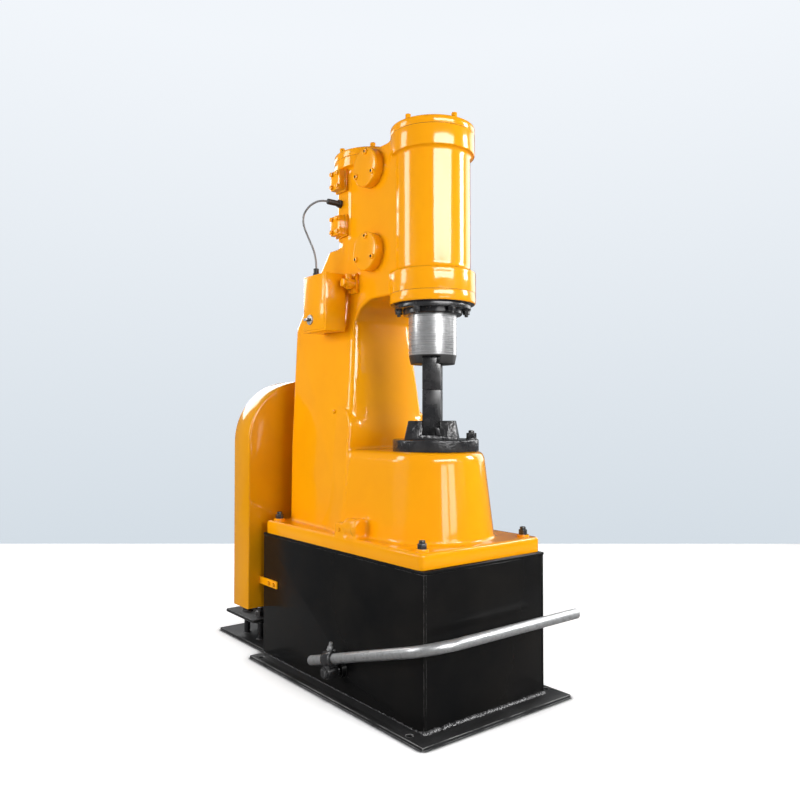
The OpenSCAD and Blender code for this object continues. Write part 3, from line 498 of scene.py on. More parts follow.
cableShape = {
    "thick": 0.006,
    "steps": [  # from the machine's middle, the compressor's axis and the head's underside
        (-0.148, 0.025, 0.305), (-0.157, 0.026, 0.305), (-0.166, 0.030, 0.3045), (-0.173, 0.037, 0.3035),
        (-0.1785, 0.046, 0.301), (-0.1835, 0.055, 0.297), (-0.188, 0.063, 0.2915), (-0.192, 0.0695, 0.284),
        (-0.196, 0.075, 0.275), (-0.199, 0.078, 0.264), (-0.200, 0.079, 0.2515), (-0.1995, 0.078, 0.239),
        (-0.197, 0.0755, 0.226), (-0.1935, 0.0715, 0.2125), (-0.189, 0.0675, 0.198), (-0.184, 0.0635, 0.183),
        (-0.1785, 0.060, 0.168), (-0.174, 0.0575, 0.1525), (-0.171, 0.056, 0.136), (-0.1695, 0.055, 0.120),
        (-0.169, 0.055, 0.105)],
}
capLow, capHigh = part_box("compressor_cap")
compressorY = (capLow.y + capHigh.y) / 2
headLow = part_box("guide_ring")[1].z
cablePoints = [Vector((x, compressorY + y, headLow + z)) for x, y, z in cableShape["steps"]]


def makeCable():
    line = bpy.data.curves.new("controlCable", "CURVE")
    line.dimensions = "3D"
    line.bevel_depth = cableShape["thick"] / 2
    line.bevel_resolution = 4
    line.resolution_u = 6
    line.use_fill_caps = True
    run = line.splines.new("BEZIER")
    run.bezier_points.add(len(cablePoints) - 1)
    for knot, point in zip(run.bezier_points, cablePoints):
        knot.co = point
        knot.handle_left_type = knot.handle_right_type = "AUTO"
    piece = bpy.data.objects.new("controlCable", line)
    scene.collection.objects.link(piece)
    piece.data.materials.append(cableGrey)
    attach(piece, "frame")
    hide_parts("control_cable")


makeCable()


# CAD nodes that keep their shape: merged copies with eased edges

skinSetup = {"merge": 0.00002, "flat": 0.8, "crease": 32, "steps": 2}  # metres for merge, degrees for angles


def mergedCopy(node, name, flat=0):  # a CAD node's mesh with its loose triangles joined up
    piece = bpy.data.objects.new(name, nodes[node].data.copy())
    scene.collection.objects.link(piece)
    piece.data.materials.clear()
    openEdit(piece)
    bpy.ops.mesh.remove_doubles(threshold=skinSetup["merge"])
    if flat:
        bpy.ops.mesh.dissolve_limited(angle_limit=radians(flat))
    closeEdit()
    return piece


def dressNode(node, look, ease):
    piece = mergedCopy(node, node + "_skin", skinSetup["flat"])
    applyModifier(piece, "BEVEL", width=ease, segments=skinSetup["steps"], limit_method="ANGLE",
                  angle_limit=radians(skinSetup["crease"]))
    smoothShade(piece)
    return finishPiece(piece, look, nodes[node]["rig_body"], [node])


dressing = {  # node: finish and edge radius in metres
    "base_front_wall": (blackPaint, 0.0015),
    "base_rear_wall": (blackPaint, 0.0015),
    "base_left_wall": (blackPaint, 0.0015),
    "base_right_wall": (blackPaint, 0.0015),
    "base_top_plate": (blackPaint, 0.0060),
    "floor_plate": (floorPlateScale, 0.0010),
    "motor_floor_plate": (floorPlateScale, 0.0010),
    "motor_lift_plate": (floorPlateScale, 0.0010),
    "ram_cap": (yellowSheet, 0.0018),
    "compressor_cap": (yellowSheet, 0.0018),
    "guide_ring": (yellowSheet, 0.0018),
    "packing_gland": (boltBlack, 0.0008),
    "ram": (ramSteel, 0.0006),
    "upper_die": (dieIron, 0.0014),
    "upper_wedge": (dieIron, 0.0008),
    "lower_die": (dieIron, 0.0014),
    "lower_wedge": (dieIron, 0.0008),
    "die_holder": (holderIron, 0.0030),
    "anvil_plate": (holderIron, 0.0010),
    "valve_cover_low_left": (yellowSheet, 0.0010),
    "valve_cover_high_left": (yellowSheet, 0.0010),
    "valve_cover_low_right": (yellowSheet, 0.0010),
    "valve_cover_high_right": (yellowSheet, 0.0010),
    "port_block_low": (yellowCast, 0.0022),
    "port_block_high": (yellowCast, 0.0022),
    "air_cock": (yellowCast, 0.0018),
    "control_box": (yellowSheet, 0.0022),
    "control_gland": (blackPlastic, 0.0010),
    "compressor_gland": (blackPlastic, 0.0010),
    "bearing_cover": (yellowCast, 0.0025),
    "guard_strap": (yellowSheet, 0.0010),
    "motor_studs": (boltBlack, 0.0008),
    "motor_body": (blackPaint, 0.0008),
    "motor_fan_cover": (blackPaint, 0.0015),
    "motor_terminal_box": (blackPaint, 0.0015),
    "treadle_pipe": (pipeZinc, 0.0006),
    "treadle_clamp": (boltBlack, 0.0014),
    "treadle_shaft": (boltBlack, 0.0010),
}
dressed = {}
for node, (look, ease) in dressing.items():
    dressed[node] = dressNode(node, look, ease)

switchShape = {"bezel": 0.004, "gap": 0.0004, "ease": 0.0008}
dressed["control_switch"] = dressNode("control_switch", boltZinc, switchShape["ease"])
print("nodes dressed:", len(dressed))


def darkenKnob():  # the switch's knob has black sides, its face and bezel are bright
    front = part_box("control_box")[0].x - switchShape["bezel"] - switchShape["gap"]
    paintFaces(dressed["control_switch"], blackPlastic, lambda c, n: c.x < front and n.x > -0.7)


def paintRingUnderShade():  # painted shade: the guide ring's underside is painted black where it lies in shadow
    paintFaces(dressed["guide_ring"], boltBlack, lambda c, n: n.z < -0.8)


darkenKnob()
paintRingUnderShade()


# Frame casting: its corners run into fillets, as a sand casting's do

castingShape = {
    "voxel": 0.004, "pull": 0.5, "rounds": 6, "keep": 0.5,
    "throat": {"half": 0.113, "back": 0.06, "low": 0.676, "high": 0.86, "pull": 0.5, "rounds": 240},
}


def makeCasting():
    piece = mergedCopy("frame_casting", "frameCasting")
    applyModifier(piece, "REMESH", mode="VOXEL", voxel_size=castingShape["voxel"], use_smooth_shade=True)
    applyModifier(piece, "SMOOTH", factor=castingShape["pull"], iterations=castingShape["rounds"])
    throat = castingShape["throat"]  # the column's front runs smooth between the crank case's two cheeks

    def inThroat(c):
        return abs(c.x) < throat["half"] and c.y < throat["back"] and throat["low"] < c.z < throat["high"]

    openEdit(piece, inThroat, "VERT")
    bpy.ops.mesh.vertices_smooth(factor=throat["pull"], repeat=throat["rounds"])
    closeEdit()
    applyModifier(piece, "DECIMATE", ratio=castingShape["keep"])
    smoothShade(piece, 60)
    print("casting faces:", len(piece.data.polygons))
    finishPiece(piece, yellowCast, "frame", ["frame_casting"])


makeCasting()


# Machined flanges of the casting, crisp where the caps and the guide ring meet them

flangeShapes = {  # node it meets, its own height, roundings at its foot and head
    "ramFlange": {"meets": "ram_cap", "height": 0.057, "foot": 0.003, "head": 0.0018},
    "compressorFlange": {"meets": "compressor_cap", "height": 0.030, "foot": 0.003, "head": 0.0018},
    "lowerFlange": {"meets": "guide_ring", "height": 0.060, "foot": 0.0018, "head": 0.016},
}


def makeFlange(name, shape):
    low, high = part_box(shape["meets"])
    foot = high.z if shape["meets"] == "guide_ring" else low.z - shape["height"]
    centre = (0, (low.y + high.y) / 2)
    piece = addCylinder(name, (high.x - low.x) / 2, shape["height"], foot, 128, centre)
    bevelEdges(piece, levelEdges(foot), shape["foot"], 5)
    bevelEdges(piece, levelEdges(foot + shape["height"]), shape["head"], 5)
    smoothShade(piece)
    finishPiece(piece, yellowSheet)


for name, shape in flangeShapes.items():
    makeFlange(name, shape)

footShape = {"thick": 0.040, "proud": 0.0006, "corner": 0.013, "edge": 0.008, "foot": 0.0012}
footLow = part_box("base_top_plate")[1].z
footTop = footLow + footShape["thick"] - footShape["proud"]


def makeFootFlange():  # the casting's foot, crisp where it meets the base's top plate
    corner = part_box("frame_casting")[1]
    reachX, reachY = corner.x + footShape["proud"], corner.y + footShape["proud"]
    piece = addBlock("footFlange", Vector((-reachX, -reachY, footLow)), Vector((reachX, reachY, footTop)))
    bevelEdges(piece, lambda a, b: abs(a.z - b.z) > hair, footShape["corner"], 6)
    bevelEdges(piece, levelEdges(footTop), footShape["edge"], 4)
    bevelEdges(piece, levelEdges(footLow), footShape["foot"], 2)
    smoothShade(piece)
    finishPiece(piece, yellowSheet)


makeFootFlange()
print("casting and flanges made")


# Belt guard: folded sheet with big round top corners

guardShape = {"corner": 0.200, "fold": 0.006, "steps": 24}


def makeGuard():
    low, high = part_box("belt_guard")
    piece = addBlock("beltGuard", low, high)

    def topCorner(a, b):
        return min(a.z, b.z) > high.z - hair and abs(a.x - b.x) < hair

    bevelEdges(piece, topCorner, guardShape["corner"], guardShape["steps"])
    bevelEdges(piece, lambda a, b: max(a.y, b.y) < low.y + hair, guardShape["fold"], 3)
    bevelEdges(piece, lambda a, b: min(a.y, b.y) > high.y - hair, guardShape["fold"] / 2, 2)
    smoothShade(piece, 30)
    finishPiece(piece, guardYellow, "frame", ["belt_guard"])


makeGuard()
print("belt guard made")


# Fasteners, each modelled once and copied

upward, downward, leftward, rearward = (0, 0, 1), (0, 0, -1), (-1, 0, 0), (0, 1, 0)
shares = {  # roundings by height, the stud's by its radius; then washer face and socket
    "washer": 0.3, "nut": 0.12, "stud": 0.25, "head": 0.14, "screw": 0.18,
    "face": 0.52, "socketWall": 0.38, "socketDeep": 0.7,
}


def roundDisc(radius, height, foot, rounding, sides=24):
    piece = addCylinder("disc", radius, height, foot, sides)
    bevelEdges(piece, levelEdges(foot + height), rounding, 2)
    return piece


def hexPrism(across, height, foot, rounding):
    return roundDisc(across / sqrt(3), height, foot, rounding, 6)


def makeStudNut(name, spec):  # washer (radius, height), nut (width, height) and stud end (radius, height)
    washerRadius, washerTop = spec["washer"]
    nutWidth, nutHeight = spec["nut"]
    studRadius, studEnd = spec["stud"]
    washer = roundDisc(washerRadius, washerTop, 0, washerTop * shares["washer"])
    nut = hexPrism(nutWidth, nutHeight, washerTop, nutHeight * shares["nut"])
    stud = roundDisc(studRadius, studEnd, washerTop + nutHeight, studRadius * shares["stud"], 20)
    return joinPieces([nut, washer, stud], name)


def makeHexBolt(name, spec):  # hex head on a washer face
    face = roundDisc(spec["across"] * shares["face"], spec["face"], 0, spec["face"] * shares["washer"])
    head = hexPrism(spec["across"], spec["head"], spec["face"], spec["head"] * shares["head"])
    return joinPieces([head, face], name)


def makeSocketScrew(name, spec, dark):  # round head with a deep socket, painted dark inside as shade
    radius, top = spec["radius"], spec["head"]
    piece = roundDisc(radius, top, 0, top * shares["screw"], 18)
    piece.name = name
    openEdit(piece, lambda c, n: c.z > top - hair and n.z > 0.9, "FACE")
    bpy.ops.mesh.inset(thickness=radius * shares["socketWall"], depth=0)
    bpy.ops.mesh.extrude_region_move(TRANSFORM_OT_translate={"value": (0, 0, -top * shares["socketDeep"])})
    closeEdit()
    piece.data.materials.append(None)  # the head's own finish comes with the copies
    # painted shade: the socket's inner faces take the dark finish
    paintFaces(piece, dark, lambda c, n: c.xy.length < radius / 2 and c.z > top * 0.05)
    return piece


def copyTo(pattern, places, name, look, body="frame"):  # places: point, way out, turn, size
    copies = []
    for point, way, turn, *size in places:
        aim = Vector(way).to_track_quat("Z", "Y").to_matrix().to_4x4()
        mesh = pattern.data.copy()
        grow = Matrix.Scale(size[0] if size else 1.0, 4)
        mesh.transform(Matrix.Translation(point) @ aim @ Matrix.Rotation(radians(turn), 4, "Z") @ grow)
        piece = bpy.data.objects.new(name, mesh)
        scene.collection.objects.link(piece)
        copies.append(piece)
    bpy.data.objects.remove(pattern)
    joined = joinPieces(copies, name)
    smoothShade(joined)
    return finishPiece(joined, look, body)


def ringPlaces(centre, radius, z, angles, way):  # each fastener stopped at a turn of its own
    return [((centre[0] + radius * cos(radians(a)), centre[1] + radius * sin(radians(a)), z), way, a * 1.7)
            for a in angles]


ramLow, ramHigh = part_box("ram")
ramY = (ramLow.y + ramHigh.y) / 2
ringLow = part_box("guide_ring")[0].z

gasketShape = {"radius": 0.1162, "thick": 0.0024, "ease": 0.0003, "atRing": 1.0172}  # wider at the guide ring


def placeGaskets():
    seams = [(ramY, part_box("ram_cap")[0].z, 1), (compressorY, capLow.z, 1),
             (ramY, headLow, gasketShape["atRing"])]
    spots = [((0, y, z - gasketShape["thick"] / 2), upward, 0, size) for y, z, size in seams]
    gasket = roundDisc(gasketShape["radius"], gasketShape["thick"], 0, gasketShape["ease"], 96)
    copyTo(gasket, spots, "flangeGaskets", blackPlastic)


holdDownShape = {
    "nut": {"washer": (0.0105, 0.001), "nut": (0.022, 0.012), "stud": (0.008, 0.008)},
    "pad": {"radius": 0.017, "thick": 0.006, "ease": 0.0012},
    "side": 0.180, "front": -0.347, "rear": 0.350, "turns": (14, 54),
}


def placeHoldDowns():  # a raised pad and a nut at each corner of the foot
    shape, pad = holdDownShape, holdDownShape["pad"]
    corners = [(x, y) for x in (-shape["side"], shape["side"]) for y in (shape["front"], shape["rear"])]
    disc = roundDisc(pad["radius"], pad["thick"], 0, pad["ease"])
    padSpots = [((x, y, footTop), upward, 0) for x, y in corners]
    copyTo(disc, padSpots, "holdDownPads", yellowSheet)
    nutSpots = [((x, y, footTop + pad["thick"]), upward, shape["turns"][y > 0]) for x, y in corners]
    copyTo(makeStudNut("holdDown", shape["nut"]), nutSpots, "holdDownNuts", boltBlack)


glandShape = {
    "radius": 0.106, "thick": 0.013, "ease": 0.0012, "overlap": 0.002,
    "nut": {"washer": (0.0115, 0.002), "nut": (0.017, 0.010), "stud": (0.005, 0.006)},
    "nutRing": 0.0935, "nutAngles": range(22, 382, 60),
    "screw": {"across": 0.010, "face": 0.001, "head": 0.005},
    "screwSunk": 0.0004, "screwAngles": (222, 342, 102),
}


def makeGlandPlate():  # the packing gland's flange, pulled up under the guide ring by its nuts
    radius, thick, ease = glandShape["radius"], glandShape["thick"], glandShape["ease"]
    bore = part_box("packing_gland")[1].x - glandShape["overlap"]
    piece = addCylinder("glandPlate", radius, thick, ringLow - thick, 96, (0, ramY))
    bevelEdges(piece, lambda a, b: abs(a.z - b.z) < hair, ease, 2)
    openEdit(piece, lambda c, n: abs(n.z) > 0.99, "FACE")
    bpy.ops.mesh.inset(thickness=radius - ease - bore, depth=0)
    bpy.ops.mesh.bridge_edge_loops()
    closeEdit()
    smoothShade(piece)
    finishPiece(piece, boltBlack)
    spots = ringPlaces((0, ramY), glandShape["nutRing"], ringLow - thick, glandShape["nutAngles"], downward)
    copyTo(makeStudNut("glandNut", glandShape["nut"]), spots, "glandNuts", boltBlack)


def placeGlandScrews():
    low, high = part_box("packing_gland")
    radius, z = high.x - glandShape["screwSunk"], (low.z + high.z) / 2
    spots = []
    for angle in glandShape["screwAngles"]:
        out = (cos(radians(angle)), sin(radians(angle)), 0)
        spots.append(((radius * out[0], ramY + radius * out[1], z), out, 0))
    copyTo(makeHexBolt("glandScrew", glandShape["screw"]), spots, "glandScrews", boltBlack)


capBolts = {
    "bolt": {"across": 0.014, "face": 0.002, "head": 0.011}, "ring": 0.105, "sunk": 0.004,
    "ram": {"start": 190.5, "count": 5}, "compressor": {"start": 233.6, "count": 6},
}


def placeCapBolts():
    spots = []
    for cap, y in (("ram", ramY), ("compressor", compressorY)):
        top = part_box(cap + "_cap")[1].z - capBolts["sunk"]
        start, count = capBolts[cap]["start"], capBolts[cap]["count"]
        angles = [start + 360 / count * k for k in range(count)]
        spots += ringPlaces((0, y), capBolts["ring"], top, angles, upward)
    copyTo(makeHexBolt("capBolt", capBolts["bolt"]), spots, "capBolts", yellowSheet)


coverScrews = {"screw": {"radius": 0.008, "head": 0.005}, "ring": 0.043, "angles": (99, 209, 334)}


def placeCoverScrews():
    spots = []
    for cover in ("low_left", "high_left", "low_right", "high_right"):
        low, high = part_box("valve_cover_" + cover)
        midY, midZ = (low.y + high.y) / 2, (low.z + high.z) / 2
        outer, side = (low.x, -1) if "left" in cover else (high.x, 1)
        for angle in coverScrews["angles"]:
            y, z = coverScrews["ring"] * cos(radians(angle)), coverScrews["ring"] * sin(radians(angle))
            spots.append(((outer, midY + y, midZ + z), (side, 0, 0), 0))
    screw = makeSocketScrew("coverScrew", coverScrews["screw"], boltBlack)
    copyTo(screw, spots, "valveCoverScrews", yellowSheet)


blockBolts = {"bolt": {"across": 0.012, "face": 0.001, "head": 0.006}, "inset": 0.013, "turn": 11}


def placeBlockBolts():
    inset, spots = blockBolts["inset"], []
    for block in ("port_block_low", "port_block_high"):
        low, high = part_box(block)
        spots += [((low.x, y, z), leftward, blockBolts["turn"]) for y in (low.y + inset, high.y - inset)
                  for z in (low.z + inset, high.z - inset)]
    copyTo(makeHexBolt("blockBolt", blockBolts["bolt"]), spots, "portBlockBolts", yellowSheet)


anvilNuts = {"nut": {"washer": (0.0155, 0.003), "nut": (0.024, 0.014), "stud": (0.008, 0.007)},
             "ring": 0.098, "forward": 0.012, "angles": (-45, 50)}


def placeAnvilNuts():
    centre, top = (0, ramY - anvilNuts["forward"]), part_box("anvil_plate")[1].z
    spots = ringPlaces(centre, anvilNuts["ring"], top, anvilNuts["angles"], upward)
    copyTo(makeStudNut("anvilNut", anvilNuts["nut"]), spots, "anvilNuts", boltBlack)


plugShape = {
    "bolt": {"across": 0.010, "face": 0.001, "head": 0.005},
    "crankCase": {"spot": (-0.1362, 0.103, 0.768), "way": (-1, 0, 0.1), "turn": 20},
    "boss": {"spot": (-0.2078, -0.028, 0.445), "way": leftward, "turn": 8},
    "strap": {"height": 0.234, "along": (0.017, 0.047), "turns": (0, 15)},
}


def placePlugs():  # on the crank case, in the linkage boss and through the guard's strap
    strap, low = plugShape["strap"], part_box("guard_strap")[0]
    spots = [(plugShape[part]["spot"], plugShape[part]["way"], plugShape[part]["turn"])
             for part in ("crankCase", "boss")]
    spots += [((low.x, low.y + along, strap["height"]), leftward, turn)
              for along, turn in zip(strap["along"], strap["turns"])]
    copyTo(makeHexBolt("casePlug", plugShape["bolt"]), spots, "casePlugs", yellowSheet)


cockBolts = {"flange": 0.008, "y": 0.012, "z": 0.021, "plugSize": 2.2, "plugTurn": 10}


def placeCockBolts():  # four in the air cock's flange and its large plug
    low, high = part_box("air_cock")
    mid, face = (low + high) / 2, high.x - cockBolts["flange"]
    spots = [((face, mid.y + y, mid.z + z), leftward, 0) for z in (cockBolts["z"], -cockBolts["z"])
             for y in (-cockBolts["y"], cockBolts["y"])]
    spots.append(((low.x, mid.y, mid.z), leftward, cockBolts["plugTurn"], cockBolts["plugSize"]))
    copyTo(makeHexBolt("cockBolt", plugShape["bolt"]), spots, "airCockBolts", yellowSheet)


treadleBolts = {
    "pinch": {"washer": (0.0085, 0.0015), "nut": (0.014, 0.009), "stud": (0.005, 0.012)},
    "pinchX": -0.250, "pinchY": -0.047, "pinchSunk": 0.004, "pinchWay": (0, -0.28, 1), "pinchTurn": 10,
    "shaft": {"washer": (0.0165, 0.0015), "nut": (0.027, 0.007), "stud": (0.009, 0.0012)},
    "shaftSunk": 0.004, "shaftTurn": 12,
}


def placeTreadleBolts():
    shape = treadleBolts
    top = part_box("treadle_clamp")[1].z - shape["pinchSunk"]
    spots = [((shape["pinchX"], shape["pinchY"], top), shape["pinchWay"], shape["pinchTurn"])]
    pinch = makeStudNut("pinchBolt", shape["pinch"])
    copyTo(pinch, spots, "treadlePinchBolt", boltZinc, "treadle")
    low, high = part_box("treadle_shaft")
    mid = (low + high) / 2
    spots = [((low.x + shape["shaftSunk"], mid.y, mid.z), leftward, shape["shaftTurn"])]
    copyTo(makeStudNut("shaftNut", shape["shaft"]), spots, "treadleShaftNut", boltBlack, "treadle")


motorBolts = {
    "nut": {"washer": (0.019, 0.003), "nut": (0.030, 0.015), "stud": (0.010, 0.012)},
    "studInset": 0.017, "studX": 0.152, "nutTurn": 25,
    "bolt": {"across": 0.017, "face": 0.0016, "head": 0.010},
    "footX": 0.104, "footBack": (0.155, 0.055), "footThick": 0.014, "footTurn": 20,
    "screw": {"radius": 0.0062, "head": 0.0045}, "lidInset": 0.012,
}
studLow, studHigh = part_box("motor_studs")
studRows = (studLow.y + motorBolts["studInset"], studHigh.y - motorBolts["studInset"])
studSpots = [(x, y) for x in (-motorBolts["studX"], motorBolts["studX"]) for y in studRows]


def placeMotorBolts():
    shape, liftTop = motorBolts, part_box("motor_lift_plate")[1].z
    spots = [((x, y, liftTop), upward, shape["nutTurn"]) for x, y in studSpots]
    copyTo(makeStudNut("motorNut", shape["nut"]), spots, "liftPlateNuts", boltBlack)
    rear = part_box("motor_body")[1].y
    spots = [((x, rear - back, liftTop + shape["footThick"]), upward, shape["footTurn"])
             for x in (-shape["footX"], shape["footX"]) for back in shape["footBack"]]
    copyTo(makeHexBolt("footBolt", shape["bolt"]), spots, "motorFootBolts", boltZinc)


bearingBolts = {"ring": 0.081, "proud": 0.018, "count": 6, "turn": 15}


def placeBearingBolts():
    low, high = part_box("bearing_cover")
    z, spots = (low.z + high.z) / 2, []
    for k in range(bearingBolts["count"]):
        angle = tau * k / bearingBolts["count"]
        x, up = bearingBolts["ring"] * cos(angle), bearingBolts["ring"] * sin(angle)
        spots.append(((x, low.y + bearingBolts["proud"], z + up), rearward, bearingBolts["turn"]))
    bolt = makeHexBolt("bearingBolt", motorBolts["bolt"])
    copyTo(bolt, spots, "bearingCoverBolts", yellowSheet)


def placeLidScrews():
    low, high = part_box("motor_terminal_box")
    inset = motorBolts["lidInset"]
    spots = [((x, y, high.z), upward, 0) for x in (low.x + inset, high.x - inset)
             for y in (low.y + inset, high.y - inset)]
    screw = makeSocketScrew("lidScrew", motorBolts["screw"], boltBlack)
    copyTo(screw, spots, "terminalLidScrews", boltZinc)


placeGaskets()
placeHoldDowns()
makeGlandPlate()
placeCapBolts()
placeCoverScrews()
placeBlockBolts()
placeAnvilNuts()
placeGlandScrews()
placePlugs()
placeCockBolts()
placeTreadleBolts()
placeMotorBolts()
placeBearingBolts()
placeLidScrews()
print("fasteners placed")


# Weld beads round the base's foot and the motor's studs

weldShape = {
    "pitch": 0.0046, "front": 1.7, "side": 0.68, "stud": 0.9, "sizes": (0.8, 1.2),
    "shake": 0.0014, "twist": 25, "studRing": 0.011, "studStep": 30, "boss": 0.014, "sunk": 0.004, "seed": 5,
    "ripple": {"radius": 0.005, "stretch": (0.85, 1.1, 0.62), "cut": -0.0012},
}
shaker = random.Random(weldShape["seed"])


def makeRipple():  # one flattened ripple of a bead
    ripple = weldShape["ripple"]
    bpy.ops.object.select_all(action="DESELECT")
    bpy.ops.mesh.primitive_uv_sphere_add(segments=10, ring_count=6, radius=ripple["radius"])
    piece = bpy.context.object
    openEdit(piece)
    bpy.ops.transform.resize(value=ripple["stretch"])
    bpy.ops.mesh.bisect(plane_co=(0, 0, ripple["cut"]), plane_no=upward, clear_inner=True, use_fill=True)
    closeEdit()
    return piece


def beadPlaces(start, end, way, size):
    start, end = Vector(start), Vector(end)
    count = round((end - start).length / weldShape["pitch"])
    along = (end - start).normalized()
    turn = 0 if abs(along.x) > abs(along.y) else 90
    twist, places = weldShape["twist"], []
    for k in range(count + 1):
        shake = Vector([shaker.uniform(-1, 1) * weldShape["shake"] for axis in range(3)])
        places.append((start.lerp(end, k / count) + shake, way, turn + shaker.uniform(-twist, twist),
                       size * shaker.uniform(*weldShape["sizes"])))
    return places


def makeWelds():
    low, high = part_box("base_left_wall")
    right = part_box("base_right_wall")[1].x
    left = low.x + weldShape["boss"]  # the left wall's own face, inside its bearing boss
    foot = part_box("floor_plate")[1].z
    front, side, ringRadius = weldShape["front"], weldShape["side"], weldShape["studRing"]
    beads = beadPlaces((left, low.y, foot), (right, low.y, foot), (0, -1, 1), front)
    beads += beadPlaces((left, high.y, foot), (right, high.y, foot), (0, 1, 1), side)
    beads += beadPlaces((left, low.y, foot), (left, high.y, foot), (-1, 0, 1), side)
    beads += beadPlaces((right, low.y, foot), (right, high.y, foot), (1, 0, 1), side)
    for x, y in studSpots:
        ring = ringPlaces((x, y), ringRadius, foot, range(0, 360, weldShape["studStep"]), upward)
        beads += [(point, (point[0] - x, point[1] - y, ringRadius), turn, weldShape["stud"])
                  for point, way, turn in ring]
    welds = copyTo(makeRipple(), beads, "weldBeads", weldScale)
    lowest = foot - weldShape["sunk"]
    openEdit(welds, lambda c: c.z < lowest, "VERT")  # nothing of a bead comes out under the plate
    bpy.ops.transform.resize(value=(1, 1, 0), center_override=(0, 0, lowest))
    closeEdit()
    print("weld ripples:", len(beads))


makeWelds()


# Grille on the motor's fan cover

grilleShape = {"radius": 0.076, "thick": 0.003, "ring": 0.0085, "groove": 0.003, "rings": 6, "hub": 0.006,
               "ease": 0.0006}


def makeFanGrille():
    low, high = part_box("motor_fan_cover")
    centre = Vector(((low.x + high.x) / 2, high.y, (low.z + high.z) / 2))
    bpy.ops.object.select_all(action="DESELECT")
    bpy.ops.mesh.primitive_cylinder_add(vertices=48, radius=grilleShape["radius"], depth=grilleShape["thick"],
                                        location=centre, rotation=(radians(90), 0, 0))
    piece = bpy.context.object
    piece.name = "fanGrille"
    settle(piece)
    outer = centre.y + grilleShape["thick"] / 2

    def middle(c, n):
        return n.y > 0.9 and (c - centre).length < grilleShape["hub"]

    for step in range(grilleShape["rings"]):  # grooves in and out by turns
        depth = grilleShape["groove"] * (-1 if step % 2 == 0 else 1)
        openEdit(piece, middle, "FACE")
        bpy.ops.mesh.inset(thickness=grilleShape["ring"], depth=0)
        bpy.ops.mesh.extrude_region_move(TRANSFORM_OT_translate={"value": (0, depth, 0)})
        closeEdit()
    bevelEdges(piece, lambda a, b: min(a.y, b.y) > outer - hair, grilleShape["ease"], 1)
    smoothShade(piece)
    finishPiece(piece, blackPaint)


makeFanGrille()
print("welds and grille made")


# Floor, backdrop and soft studio light

stageSetup = {
    "floorTone": (0.94, 0.94, 0.94),
    "floorLift": 0.36,  # brings the floor up to white for the camera alone
    "contact": 0.06,  # reach of the painted contact shadow under the plates
    "contactRange": (0.76, 0.998),  # share of open sky at its darkest and where it ends
    "contactShadowTone": (0.08, 0.08, 0.084),
    "bounce": 0.45,  # share of the floor's tone that lights the object from below
    "backEdge": 2.23,  # behind the machine, along the view
    "reach": 9.0,
    "level": -0.0005,  # just under the plates
    "horizon": (0.665, 0.73, 0.791),
    "zenith": (0.887, 0.922, 0.965),
    "climb": (-0.15, 0.45),  # from the one tone to the other, as heights of the view
    "mirrored": 0.2,  # strength of the backdrop and the floor in gloss
    "fillStrength": 0.335,
}


def makeFloor():
    turn = radians(cameraSetup["turn"])
    bpy.ops.object.select_all(action="DESELECT")
    bpy.ops.mesh.primitive_plane_add(size=1, location=(0, 0, stageSetup["level"]))
    floor = bpy.context.object
    floor.name = "studioFloor"
    floor.scale = (2 * stageSetup["reach"], stageSetup["reach"] + stageSetup["backEdge"], 1)
    settle(floor)
    openEdit(floor)
    bpy.ops.mesh.subdivide(number_cuts=3)
    closeEdit()
    shift = (stageSetup["backEdge"] - stageSetup["reach"]) / 2
    floor.data.transform(Matrix.Rotation(turn, 4, "Z") @ Matrix.Translation((0, shift, 0)))
    look, tree, shader = newLook(
        "studioFloor", Roughness=0.9, Specular_IOR_Level=0.1, Emission_Color=(1, 1, 1, 1))
    paths = addNode(tree, "ShaderNodeLightPath")
    near = addNode(tree, "ShaderNodeAmbientOcclusion", {"Distance": stageSetup["contact"]}, samples=8)
    clearOf = rangeOn(tree, near.outputs["AO"], *stageSetup["contactRange"])
    pale, bounce, dim = [[part * share for part in stageSetup["floorTone"]]
                         for share in (1, stageSetup["bounce"], stageSetup["mirrored"])]
    # painted contact shadow: the floor's tone darkens where the plates are close
    tone = mixTone(tree, clearOf, stageSetup["contactShadowTone"], pale)
    tone = mixTone(tree, paths.outputs["Is Diffuse Ray"], tone, bounce)
    tone = mixTone(tree, paths.outputs["Is Glossy Ray"], tone, dim)
    wire(tree, tone, shader.inputs["Base Color"])
    lift = mathOn(tree, "MULTIPLY", clearOf, stageSetup["floorLift"])
    lift = mathOn(tree, "MULTIPLY", paths.outputs["Is Camera Ray"], lift)
    wire(tree, lift, shader.inputs["Emission Strength"])
    floor.data.materials.append(look)


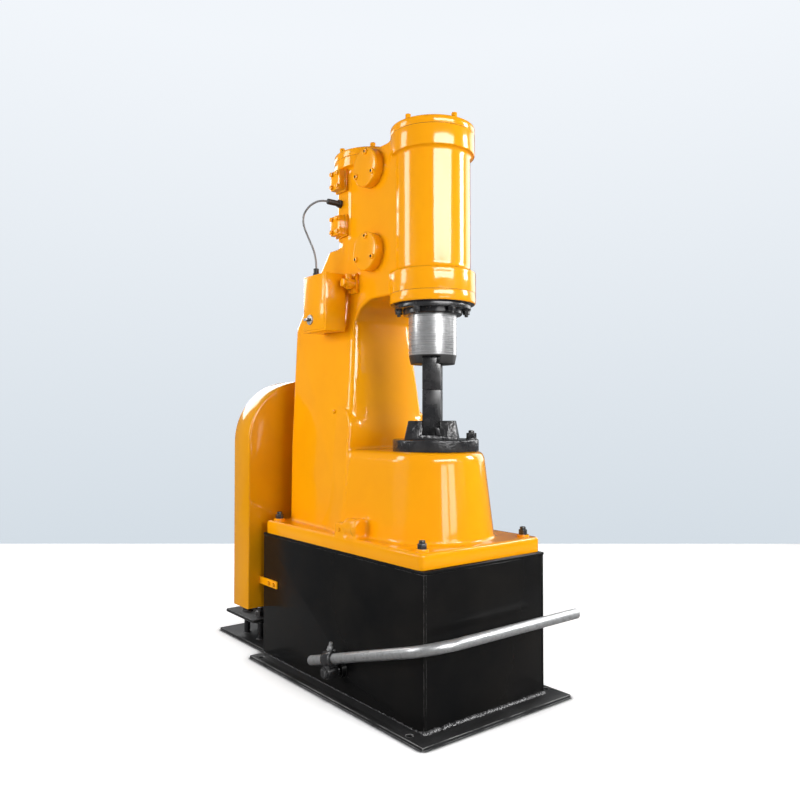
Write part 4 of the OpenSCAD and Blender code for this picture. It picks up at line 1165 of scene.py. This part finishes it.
def makeWorld():
    world = bpy.data.worlds.new("studio")
    scene.world = world
    world.use_nodes = True
    tree = world.node_tree
    tree.nodes.clear()
    way = addNode(tree, "ShaderNodeSeparateXYZ")
    wire(tree, addNode(tree, "ShaderNodeTexCoord").outputs["Generated"], way.inputs[0])
    climb = rangeOn(tree, way.outputs["Z"], *stageSetup["climb"])
    pale = addNode(tree, "ShaderNodeBackground")
    wire(tree, mixTone(tree, climb, stageSetup["horizon"], stageSetup["zenith"]), pale.inputs["Color"])
    paths = addNode(tree, "ShaderNodeLightPath")
    clear = mathOn(tree, "MAXIMUM", paths.outputs["Is Camera Ray"], paths.outputs["Is Transmission Ray"])
    gloss = mathOn(tree, "MULTIPLY", paths.outputs["Is Glossy Ray"], stageSetup["mirrored"])
    wire(tree, mathOn(tree, "MAXIMUM", clear, gloss), pale.inputs["Strength"])
    fill = addNode(tree, "ShaderNodeBackground", {
        "Color": (1, 1, 1, 1), "Strength": stageSetup["fillStrength"]})
    seen = mathOn(tree, "MAXIMUM", clear, paths.outputs["Is Glossy Ray"])
    mix = addNode(tree, "ShaderNodeMixShader")
    out = addNode(tree, "ShaderNodeOutputWorld")
    wire(tree, seen, mix.inputs["Fac"])
    wire(tree, fill.outputs[0], mix.inputs[1])
    wire(tree, pale.outputs[0], mix.inputs[2])
    wire(tree, mix.outputs[0], out.inputs["Surface"])


fillLamps = {  # these only light the object; power in watts
    "frontFill": {"place": (0.5, -3.35, 1.5), "aim": (0, -0.18, 0.9), "size": (2.2, 1.2), "power": 92},
    "sideFill": {"place": (-3.1, 1.0, 1.4), "aim": (0, 0, 0.9), "size": (2.0, 1.6), "power": 83},
    "rearFill": {"place": (-0.1, 3.4, 2.6), "aim": (0, 0.3, 0.9), "size": (1.8, 0.8), "power": 36},
    "rightBox": {"place": (2.7, -2.07, 1.95), "aim": (0, -0.1, 1.2), "size": (1.3, 1.5), "power": 50},
}
glossLamps = {  # these only show in reflections
    "rightStreak": {"place": (2.8, -2.02, 2.3), "aim": (0, -0.18, 1.3), "size": (0.9, 1.0), "power": 70},
    "farRight": {"place": (3.3, 0.1, 1.8), "aim": (0, -0.18, 1.2), "size": (1.9, 2.2), "power": 38},
    "streakBox": {"place": (-0.62, -3.45, 2.3), "aim": (0, -0.18, 1.3), "size": (3.3, 0.85), "power": 158},
    "rearStrip": {"place": (-2.44, 1.39, 2.15), "aim": (0, -0.18, 1.3), "size": (0.95, 1.2), "power": 32},
    "rearGlow": {"place": (0.4, 3.4, 2.05), "aim": (0.4, 0.4, 0.9), "size": (2.6, 1.1), "power": 40},
    "ramStrip": {"place": (-2.29, 1.61, 1.27), "aim": (0, -0.18, 1.0), "size": (0.6, 0.3), "power": 5},
    "lowStripLeft": {"place": (-1.02, -3.37, 0.95), "aim": (0, -0.18, 0.6), "size": (0.7, 0.5), "power": 9},
    "lowStripRight": {"place": (-0.13, -3.53, 0.95), "aim": (0, -0.18, 0.6), "size": (0.75, 0.5), "power": 9},
}


def makeLamp(name, setup, gloss):
    bpy.ops.object.select_all(action="DESELECT")
    bpy.ops.object.light_add(type="AREA", location=setup["place"])
    lamp = bpy.context.object
    lamp.name = name
    lamp.data.shape = "RECTANGLE"
    lamp.data.size, lamp.data.size_y = setup["size"]
    lamp.data.energy = setup["power"]
    lamp.visible_camera = False
    lamp.visible_diffuse = not gloss
    lamp.visible_glossy = gloss
    way = Vector(setup["aim"]) - Vector(setup["place"])
    lamp.rotation_euler = way.to_track_quat("-Z", "Y").to_euler()


makeFloor()
makeWorld()
for name, setup in fillLamps.items():
    makeLamp(name, setup, False)
for name, setup in glossLamps.items():
    makeLamp(name, setup, True)
scene.view_settings.view_transform = "Standard"
print("stage set")
